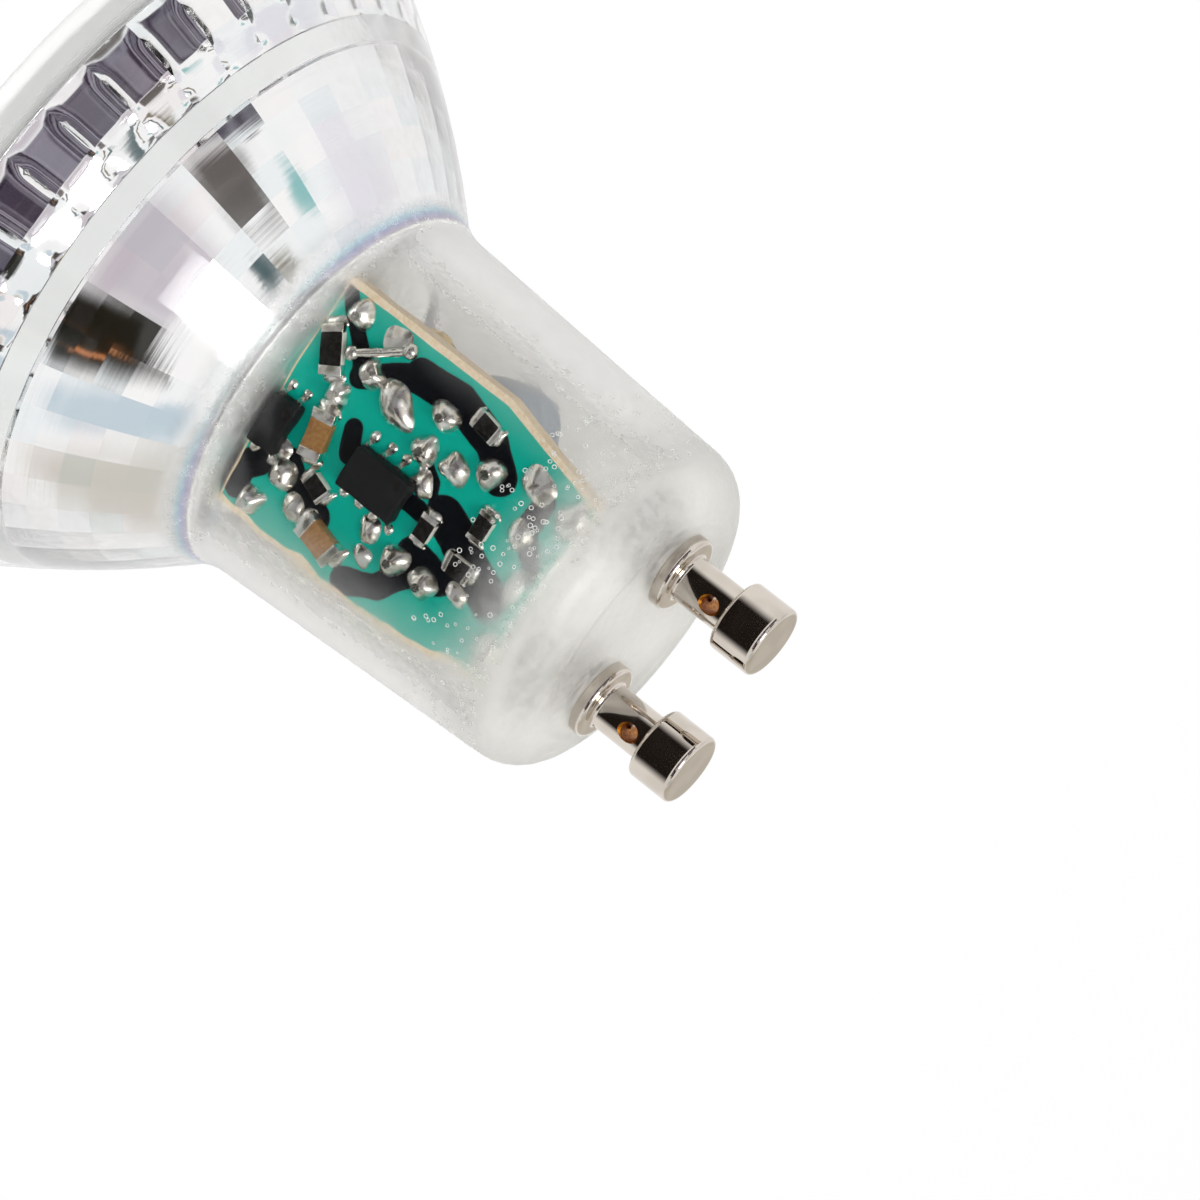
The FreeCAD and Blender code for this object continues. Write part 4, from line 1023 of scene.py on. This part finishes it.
# Drawn and tinned copper: a thin grey-white line of light along each wire.
wire = finish("tinned copper wire", "#CFCBC4", "#E6E3DD", 0.12, 0.004, 0.14, 0.3, Metallic=1.0)
dress(wire, "component_leads", "wire_link")
for side in ("left", "right"):
    dress(wire, f"mains_lead_{side}", f"led_lead_{side}")
print("solder and wire:", tin.name, "and", wire.name)

# %% Joints on both ends of every lead
LEAD_RADIUS = 0.3
JOINT_LONG, JOINT_WIDE, JOINT_HIGH = 1.15, 1.05, 0.95
BACK_JOINT_WIDE, BACK_JOINT_HIGH = 0.7, 0.3
CAP_PITCH, FILM_PITCH, FUSE_PITCH = 2.5, 9.4, 8.4
COIL_PITCH, COIL_TURN = 2.73, np.radians(61.5)
behind = ("electrolytic_capacitor", "inductor_core", "film_capacitor", "fusible_resistor")
cap, coil, film, fuse = (middle(node) for node in behind)
coil_reach = np.array([np.sin(COIL_TURN), -np.cos(COIL_TURN)]) * COIL_PITCH / 2
# Each lead's end: its place across the board and up it, and the size of its joint.
lead_places = []
for way, side in ((-1, "left"), (1, "right")):
    mains_foot = box(f"mains_lead_{side}")[0][2]
    led_top = box(f"led_lead_{side}")[1][2]
    lead_places += [
        (cap[0] + way * CAP_PITCH / 2, cap[2], 1.9),
        (coil[0] + way * coil_reach[0], coil[2] + way * coil_reach[1], 1.8),
        (film[0], film[2] + way * FILM_PITCH / 2, 2.0),
        (way * FUSE_PITCH / 2, fuse[2], 1.9),
        (middle(f"mains_lead_{side}")[0], mains_foot + LEAD_RADIUS, 2.5),
        (middle(f"led_lead_{side}")[0], led_top - LEAD_RADIUS, 1.8),
    ]


def on_board(points, x, z, turn=0.0, face=BOARD_FACE, out=-1):
    """Points given as (across, up, out), turned in the board's plane and set at a place on one face."""
    swing = np.radians(turn)
    across, up, rise = np.asarray(points).T
    side = x + across * np.cos(swing) + up * np.sin(swing)
    return np.stack([side, face + out * rise, z - across * np.sin(swing) + up * np.cos(swing)], -1)


joints = []
for number, (x, z, size) in enumerate(lead_places):
    points, faces = mound(size * JOINT_LONG, size * JOINT_WIDE, JOINT_HIGH, number)
    joints.append((on_board(points, x, z, 40 * number), faces, tin))
    size *= BACK_JOINT_WIDE
    points, faces = mound(size, size, BACK_JOINT_HIGH, 40 + number)
    joints.append((on_board(points, x, z, 0, BOARD_BACK, 1), faces, tin))
# Runs of solder on the board: place across and up, turn in degrees, length, width and height.
SOLDER_RUNS = (
    (-3.9, 26.7, 33.0, 3.6, 2.3, 0.9),
    (-7.0, 24.5, 0.0, 2.0, 2.0, 0.12),
    (-3.0, 32.2, 10.0, 2.3, 1.9, 0.8),
    (-0.9, 30.9, 60.0, 2.0, 1.5, 0.6),
    (5.6, 24.3, 60.0, 2.0, 1.5, 0.5),
    (2.9, 21.6, 30.0, 1.8, 1.4, 0.45),
    (-5.4, 37.4, 20.0, 2.8, 2.1, 0.6),
    (3.6, 29.4, 70.0, 1.9, 1.5, 0.5),
    (5.2, 29.8, 10.0, 1.6, 1.3, 0.4),
    (-2.2, 38.0, 70.0, 2.0, 1.6, 0.5),
    (0.8, 39.6, 80.0, 2.2, 1.5, 0.5),
    (3.4, 36.6, 20.0, 1.8, 1.4, 0.5),
)
for number, (x, z, turn, length, width, high) in enumerate(SOLDER_RUNS):
    points, faces = mound(length, width, high, 90 + number)
    joints.append((on_board(points, x, z, turn), faces, tin))
make_piece("solder_fillets", joints, ["solder_joints"], 60)

# %% [markdown]
# ## Chips
#
# Surface-mounted parts come in a few forms. A resistor is a white ceramic chip with a black glass top and
# tinned ends, a capacitor is a brown ceramic block between tinned ends, and an integrated circuit is a
# black epoxy moulding on bent legs. Each sits in a little solder. Boxes with rounded edges and small
# prisms give all of them.

# %% Boxes with rounded edges, and strips


def soft_box(size, rounding):
    """A box about the origin with rounded edges: a gridded box drawn in to its core plus the rounding."""
    half = np.array(size) / 2
    core = half - rounding
    axes = [np.array([-h, -h + 0.4 * rounding, -c, c, h - 0.4 * rounding, h]) for h, c in zip(half, core)]
    points, quads = [], []
    for axis in range(3):
        first, second = [a for a in range(3) if a != axis]
        for side in (0, -1):
            flat = np.zeros((6, 6, 3))
            flat[..., axis] = axes[axis][side]
            flat[..., first] = axes[first][:, None]
            flat[..., second] = axes[second][None, :]
            row = np.arange(5)[:, None] * 6 + np.arange(5)
            face = np.stack([row, row + 6, row + 7, row + 1], -1).reshape(-1, 4) + 36 * len(points)
            quads.append(face if (side == -1) != (axis == 1) else face[:, ::-1])
            points.append(flat.reshape(-1, 3))
    flat = np.concatenate(points)
    inner = np.clip(flat, -core, core)
    out = flat - inner
    shaped = inner + rounding * out / np.linalg.norm(out, axis=1, keepdims=True)
    merged, number = np.unique(shaped.round(6), axis=0, return_inverse=True)
    return merged, number.reshape(-1)[np.concatenate(quads)].tolist()


def prism(outline, width):
    """A strip of a width whose side view is an outline of (across, out) points, as (across, up, out)."""
    outline = np.array(outline)
    count = len(outline)
    sides = [np.insert(outline, 1, half, axis=1) for half in (-width / 2, width / 2)]
    here = np.arange(count)
    after = (here + 1) % count
    walls = np.stack([here, after, after + count, here + count], -1).tolist()
    return np.concatenate(sides), [*walls, here[::-1].tolist(), (here + count).tolist()]


# %% Chip finishes
# Fired alumina: a matt, chalky white edge.
ceramic = finish("white alumina", "#D9D5CB", "#E8E5DE", 0.2, 0.004, 0.45, 0.6)
# Fired glass paste: a black top with a weak shine.
overglaze = finish(
    "black resistor glaze", "#141414", "#211F1E", 0.3, 0.006, 0.2, 0.35, Specular_IOR_Level=0.15
)
# Layered, fired ceramic: a smooth caramel brown.
brown = finish("brown capacitor ceramic", "#8E6236", "#A47B49", 0.25, 0.005, 0.3, 0.45)
# Moulded epoxy, filled with silica: a deep matt black.
mould = finish("black epoxy moulding", "#17181A", "#222326", 0.09, 0.006, 0.42, 0.6, Specular_IOR_Level=0.15)

print("chip finishes:", *(paint.name for paint in (ceramic, overglaze, brown, mould)), sep=" | ")

# %% Resistors and capacitors
# Places of the chips: across the board, up from the ledge, and turn in degrees.
RESISTORS = ((3.4, 5.7, 20.0), (1.2, 13.3, 90.0), (-6.4, 13.3, 10.0), (-1.2, 16.5, 90.0), (1.8, 16.6, 0.0))
CAPACITORS = ((0.6, 4.0, 80.0), (6.0, 7.7, 15.0))
SENSE = ((-4.3, 1.8, 59.0),)
# Shares of a chip's width, length and height that its parts take up.
CORE_SHARES, CORE_LIFT = (0.97, 0.96, 0.9), 0.47
GLAZE_WIDE, GLAZE_LONG, GLAZE_LIFT, GLAZE_THICK = 0.93, 0.66, 0.92, 0.1
END_LONG, END_PLACE = 0.2, 0.4
DROP_LONG, DROP_WIDE, DROP_HIGH, DROP_SEED = 0.34, 1.12, 0.62, 7


def chip(size, place, core, top=None):
    """Parts of one chip of (width, length, height): core, a glaze on top, tinned ends and their solder."""
    width, length, height = size
    x, up, turn = place
    z = LEDGE_HEIGHT + up
    shapes = [(soft_box(np.multiply(size, CORE_SHARES), 0.05), (0, 0, height * CORE_LIFT), core)]
    if top:
        glaze = soft_box((width * GLAZE_WIDE, length * GLAZE_LONG, GLAZE_THICK), 0.04)
        shapes.append((glaze, (0, 0, height * GLAZE_LIFT), top))
    for way in (-1, 1):
        end = soft_box((width, length * END_LONG, height), 0.07)
        drop = mound(length * DROP_LONG, width * DROP_WIDE, height * DROP_HIGH, DROP_SEED)
        shapes.append((end, (0, way * length * END_PLACE, height / 2), tin))
        shapes.append((drop, (0, way * length * 0.5, 0), tin))
    return [(on_board(points + shift, x, z, turn), faces, paint) for (points, faces), shift, paint in shapes]


glazed = (ceramic, overglaze)
for name, node, slot, size, places, paints in (
    ("thick_film_resistors", "chip_resistors", "chip_black", (1.25, 2.0, 0.55), RESISTORS, glazed),
    ("ceramic_capacitors", "chip_capacitors", "chip_brown", (1.6, 3.2, 0.8), CAPACITORS, (brown,)),
    ("current_resistor", "sense_resistor", "chip_black", (1.6, 3.2, 0.6), SENSE, glazed),
):
    make_piece(name, [part for place in places for part in chip(size, place, *paints)], [node], 35)

# %% Moulded packages
LEG_PITCH, LEG_WIDTH, LEG_LENGTH, LEG_THICK = 1.27, 0.42, 0.8, 0.16
LEG_ROOT, LEG_FOOT = 0.6, 0.1
PACKAGE_LIFT, PACKAGE_HIGH, PACKAGE_DRAFT = 0.15, 1.3, 0.05
DIMPLE = np.array([(0, 0.012), (0.3, 0.012), (0.34, -0.01), (0, -0.01)])
for name, node, width, length, legs in (
    ("bridge_package", "bridge_rectifier", 3.6, 2.2, 2),
    ("driver_package", "driver_chip", 3.0, 4.6, 4),
):
    x, _, z = middle(node)
    body, faces = soft_box((width, length, PACKAGE_HIGH), 0.14)
    waist = 1 - PACKAGE_DRAFT * np.abs(body[:, 2:] - 0.1) / PACKAGE_HIGH * 2
    body = body * np.concatenate([waist, waist, np.ones_like(waist)], axis=1)
    parts = [(on_board(body + [0, 0, PACKAGE_LIFT + PACKAGE_HIGH / 2], x, z), faces, mould)]
    bends = [(-0.15, LEG_ROOT), (0.16, LEG_ROOT), (0.34, LEG_FOOT), (LEG_LENGTH, LEG_FOOT)]
    line = np.array([(width / 2 + reach, rise) for reach, rise in bends])
    outline = np.concatenate([line + [0, LEG_THICK / 2], line[::-1] - [0, LEG_THICK / 2]])
    for leg in range(legs):
        for turn, way in ((0, 1), (180, -1)):
            up = way * ((leg - (legs - 1) / 2) * LEG_PITCH)
            points, faces = prism(outline, LEG_WIDTH)
            parts.append((on_board(points + [0, up, 0], x, z, turn), faces, wire))
            points, faces = mound(0.75, 0.8, 0.26, leg + turn)
            foot = [width / 2 + LEG_LENGTH * 0.75, up, 0]
            parts.append((on_board(points + foot, x, z, turn), faces, tin))
    points, faces = around(DIMPLE[:, :1], DIMPLE[:, 1:], full_turn(24))
    spot = [-width * 0.3, length * 0.3, PACKAGE_LIFT + PACKAGE_HIGH]
    parts.append((on_board(points + spot, x, z), faces, overglaze))
    make_piece(name, parts, [node], 35)

# %% [markdown]
# ## Parts behind the board
#
# A can capacitor is an aluminium cup crimped on a rubber bung, in a shrunk plastic sleeve that leaves its
# scored end bare. The inductor is enamelled copper wire wound on a ferrite drum, the film capacitor is
# dipped in yellow epoxy, and the fusible resistor is a lacquered barrel with colour bands. The wire is
# wound here as it is in the factory, turn by turn along the drum, because the ridges between turns are
# what the eye reads as copper wire.

# %% Finishes behind the board
# Shrunk PVC: a smooth blue-grey with a soft plastic shine.
sleeve = finish("grey shrink sleeve", "#8E97A6", "#A3AAB6", 0.8, 0.01, 0.28, 0.42, Coat_Weight=0.3)
# Drawn aluminium: pale metal with a satin sheen.
bare = finish("drawn aluminium", "#DCDDDE", "#ECECED", 0.5, 0.003, 0.34, 0.5, Metallic=1.0)
# Moulded rubber: dull black.
rubber = finish("black rubber bung", "#1B1A19", "#282625", 0.1, 0.01, 0.65, 0.85)
# Ferrite, pressed and sintered: charcoal, fine-grained and dull. The same finish paints shade into the can's
# vent scores.
ferrite_and_score_shade = finish("sintered ferrite and score shade", "#343233", "#474444", 0.12, 0.015, 0.5, 0.75)
# Enamelled copper: amber ridges, each with its own line of light.
enamel = finish(
    "enamelled copper wire", "#B8762C", "#D09A48", 0.6, 0.004, 0.18, 0.32, Metallic=0.85, Coat_Weight=0.6
)
# Dipped epoxy: a thick yellow coat with slow waves in its shine.
epoxy = finish("yellow dipped epoxy", "#C9A544", "#D9BA5E", 1.6, 0.05, 0.24, 0.38, Coat_Weight=0.2)
# Polyester tape: a clean warm yellow film.
tape = finish("yellow polyester tape", "#D8AE3C", "#E7C65C", 0.7, 0.01, 0.22, 0.4, Coat_Weight=0.3)
# Sprayed lacquer: grey-green, with a light orange-peel.
lacquer = finish("grey-green resistor lacquer", "#7D8A86", "#93A09B", 0.5, 0.012, 0.32, 0.5)
# Rolled-on paint: three flat bands on the lacquer.
BAND_TONES = (
    ("brown", "#5A3218", "#6B3F20"),
    ("black", "#151414", "#222020"),
    ("gold", "#A8842E", "#BD9A44"),
)
band_paints = [finish(f"{name} band paint", *tones, 0.3, 0.008, 0.38, 0.55) for name, *tones in BAND_TONES]
dress(rubber, "capacitor_bung")
dress(ferrite_and_score_shade, "inductor_core")
print("bands on the resistor:", len(band_paints))

# %% Can capacitor
CAN_SIDES, CAN_STEP = 72, 0.15
CAN_LID, SLEEVE_THICK, SLEEVE_MOUTH = 0.12, 0.08, 2.35
SCORE_SIZE, SCORE_TURNS = (0.1, 3.6, 0.05), (0, 60, 120)


def along_y(points, centre, foot):
    """Points turned from the Z axis to stand along Y, at a centre, from a foot."""
    return np.stack([centre[0] + points[:, 0], foot + points[:, 2], centre[2] + points[:, 1]], -1)


def spun(points, degrees):
    """Points turned about the Z axis."""
    swing = np.radians(degrees)
    cosine, sine = np.cos(swing), np.sin(swing)
    return points @ np.array([[cosine, sine, 0], [-sine, cosine, 0], [0, 0, 1]])


(_, CAN_FOOT, _), (_, CAN_TOP, _) = box("electrolytic_capacitor")
CAN_RADIUS = half_width("electrolytic_capacitor")
CAN_HIGH = CAN_TOP - CAN_FOOT
inner = CAN_RADIUS - CAN_LID
points, faces = turned(
    [
        (0, CAN_HIGH - CAN_LID, 0),
        (inner, CAN_HIGH - CAN_LID, 0.6),
        (inner, 1.9, 0.3),
        (inner - 0.35, 1.5, 0.3),
        (inner, 1.1, 0.3),
        (inner, 0.1, 0.2),
        (0, 0.1, 0),
    ],
    CAN_STEP,
    CAN_SIDES,
)
can_parts = [(along_y(points, cap, CAN_FOOT), faces, bare)]
sleeve_path = section(
    [
        (SLEEVE_MOUTH, CAN_HIGH - 0.1, 0),
        (CAN_RADIUS, CAN_HIGH - 0.02, 0.7),
        (CAN_RADIUS, 2.0, 0.35),
        (CAN_RADIUS - 0.33, 1.5, 0.35),
        (CAN_RADIUS, 1.0, 0.35),
        (CAN_RADIUS, 0.02, 0.1),
        (CAN_RADIUS - 0.6, 0.02, 0),
        (CAN_RADIUS - 0.6, 0.08, 0),
    ],
    CAN_STEP,
)
outer, rise = sleeve_path[:, :1] * np.ones(CAN_SIDES), sleeve_path[:, 1:]
shell = np.concatenate([outer, (outer - SLEEVE_THICK)[::-1]])
rise = np.concatenate([rise, (rise - 0.04 * (rise > 5))[::-1]])
points, faces = hollow(shell, rise, full_turn(CAN_SIDES))
can_parts.append((along_y(points, cap, CAN_FOOT), faces, sleeve))
# The vent scores are thin bars in the dark charcoal finish on the bare lid: painted shade for the grooves.
for turn in SCORE_TURNS:
    score_shade, faces = soft_box(SCORE_SIZE, 0.02)
    score_shade = spun(score_shade, turn) + [0, 0, CAN_HIGH - CAN_LID]
    can_parts.append((along_y(score_shade, cap, CAN_FOOT), faces, ferrite_and_score_shade))
make_piece("sleeved_can", can_parts, ["electrolytic_capacitor"], 40)

# %% Inductor


def tube(path, radius, sides=12):
    """A round bar along a path of points, closed at both ends."""
    path = np.asarray(path, float)
    along = np.gradient(path, axis=0)
    along /= np.linalg.norm(along, axis=1, keepdims=True)
    hint = np.where(np.abs(along[:, 2:]) < 0.9, [[0, 0, 1.0]], [[1.0, 0, 0]])
    across = np.cross(along, hint)
    across /= np.linalg.norm(across, axis=1, keepdims=True)
    upright = np.cross(across, along)
    turn = full_turn(sides)[None, :, None]
    rings = path[:, None] + radius * (np.cos(turn) * across[:, None] + np.sin(turn) * upright[:, None])
    count = len(path) * sides
    ends = [list(range(sides))[::-1], list(range(count - sides, count))]
    return rings.reshape(-1, 3), [*ring_quads(len(path), sides, False)[:, ::-1].tolist(), *ends]


(_, WIND_FOOT, _), (_, WIND_TOP, _) = box("inductor_winding")
WIND_RADIUS, WIND_HIGH = half_width("inductor_winding"), WIND_TOP - WIND_FOOT
WIRE, TURN_STEPS = 0.3, 32
TAPE_THICK, TAPE_START, TAPE_END = 0.07, 2.2, WIND_HIGH + 0.75
turns = int(WIND_HIGH / WIRE) - 1
share = np.linspace(0, 1, turns * TURN_STEPS)
swing = share * turns * 2 * np.pi
slack = 0.05 * np.sin(share * 41) + 0.03 * np.sin(share * 97)
radius = WIND_RADIUS - WIRE / 2 - 0.02 + slack * 0.4
helix = np.stack([radius * np.cos(swing), radius * np.sin(swing), WIRE / 2 + share * (WIND_HIGH - WIRE)], -1)
under = WIND_RADIUS - WIRE / 2
lap = np.array([(0, TAPE_START), (TAPE_THICK, TAPE_START), (TAPE_THICK, TAPE_END), (0, TAPE_END)])
around_drum = full_turn(72)
wrinkle = 0.02 * np.sin(9 * around_drum) + 0.012 * np.sin(23 * around_drum)
wrap = half_width("inductor_core") + 0.02 + lap[:, :1] + wrinkle
layer = [(0, WIND_HIGH - 0.02, 0), (under, WIND_HIGH - 0.02, 0), (under, 0.02, 0), (0, 0.02, 0)]
shapes = (
    (tube(helix, WIRE / 2, 8), enamel),
    (turned(layer, 0.5, 48), enamel),
    (hollow(wrap, lap[:, 1:], around_drum), tape),
)
parts = [(along_y(points, coil, WIND_FOOT), faces, paint) for (points, faces), paint in shapes]
make_piece("copper_winding", parts, ["inductor_winding"], 60)

# %% Film capacitor and fusible resistor
low, high = box("film_capacitor")
points, faces = soft_box(high - low - 0.04, 0.75)
make_piece("dipped_film_capacitor", [(points + film, faces, epoxy)], ["film_capacitor"], 50)

low, high = box("fusible_resistor")
BARREL_HALF, BARREL_RADIUS, BARREL_SIDES = (high[0] - low[0]) / 2, (high[1] - low[1]) / 2, 48
BARREL_WAIST, BAND_PITCH = 0.14, 0.75
bulge = [
    (0, BARREL_HALF, 0),
    (BARREL_RADIUS, BARREL_HALF, 0.4),
    (BARREL_RADIUS, BARREL_HALF - 1.4, 0.5),
    (BARREL_RADIUS - BARREL_WAIST, BARREL_HALF - 1.7, 0.5),
]
barrel = [*bulge, *[(radius, -height, rounding) for radius, height, rounding in bulge[::-1]]]
points, faces = turned(barrel, 0.12, BARREL_SIDES)
barrel_parts = [(points[:, [2, 1, 0]] + fuse, faces, lacquer)]
edge = BARREL_RADIUS - BARREL_WAIST + 0.01
ring = np.array([(edge - 0.1, -0.22), (edge + 0.01, -0.2), (edge + 0.01, 0.2), (edge - 0.1, 0.22)])
for paint, step in zip(band_paints, (-1.0, 0.0, 1.0)):
    rise = ring[:, 1:] + step * BAND_PITCH
    points, faces = hollow(ring[:, :1] * np.ones(BARREL_SIDES), rise, full_turn(BARREL_SIDES))
    barrel_parts.append((points[:, [2, 1, 0]] + fuse, faces, paint))
make_piece("banded_resistor", barrel_parts, ["fusible_resistor"], 40)

# %% [markdown]
# ## Light source
#
# In front of the disc sits a white aluminium-core board with a ring of emitters: a pale plastic frame
# round a pool of yellow phosphor. The disc itself is plain drawn aluminium. The frames are boxes with soft
# edges, and a pool is a low mound turned upside down, because the emitters face the front.

# %% Disc, board and emitters
# White solder mask: an even, slightly soft white.
white = finish("white solder mask", "#EDEDEA", "#F6F6F3", 0.4, 0.006, 0.34, 0.5)
# Cured silicone gel with phosphor: a flat egg-yolk yellow.
phosphor = finish("yellow phosphor gel", "#E8C33A", "#F0D260", 0.2, 0.01, 0.3, 0.45)
dress(bare, "heat_sink")
dress(white, "led_board")
LED_RING, LED_SIZE, LED_COUNT = 5.0, (2.8, 3.5, 0.7), 6
LED_FOOT = box("led_board")[0][2]
emitters = []
for number in range(LED_COUNT):
    turn = number * 360 / LED_COUNT
    points, faces = soft_box(LED_SIZE, 0.08)
    emitters.append((spun(points + [LED_RING, 0, LED_FOOT - LED_SIZE[2] / 2], turn), faces, white))
    points, faces = mound(2.9, 2.2, 0.14, 3)
    points = points * [1, 1, -1] + [LED_RING, 0, LED_FOOT - LED_SIZE[2] + 0.01]
    emitters.append((spun(points, turn), faces, phosphor))
make_piece("emitter_packages", emitters, ["led_emitters"], 40)
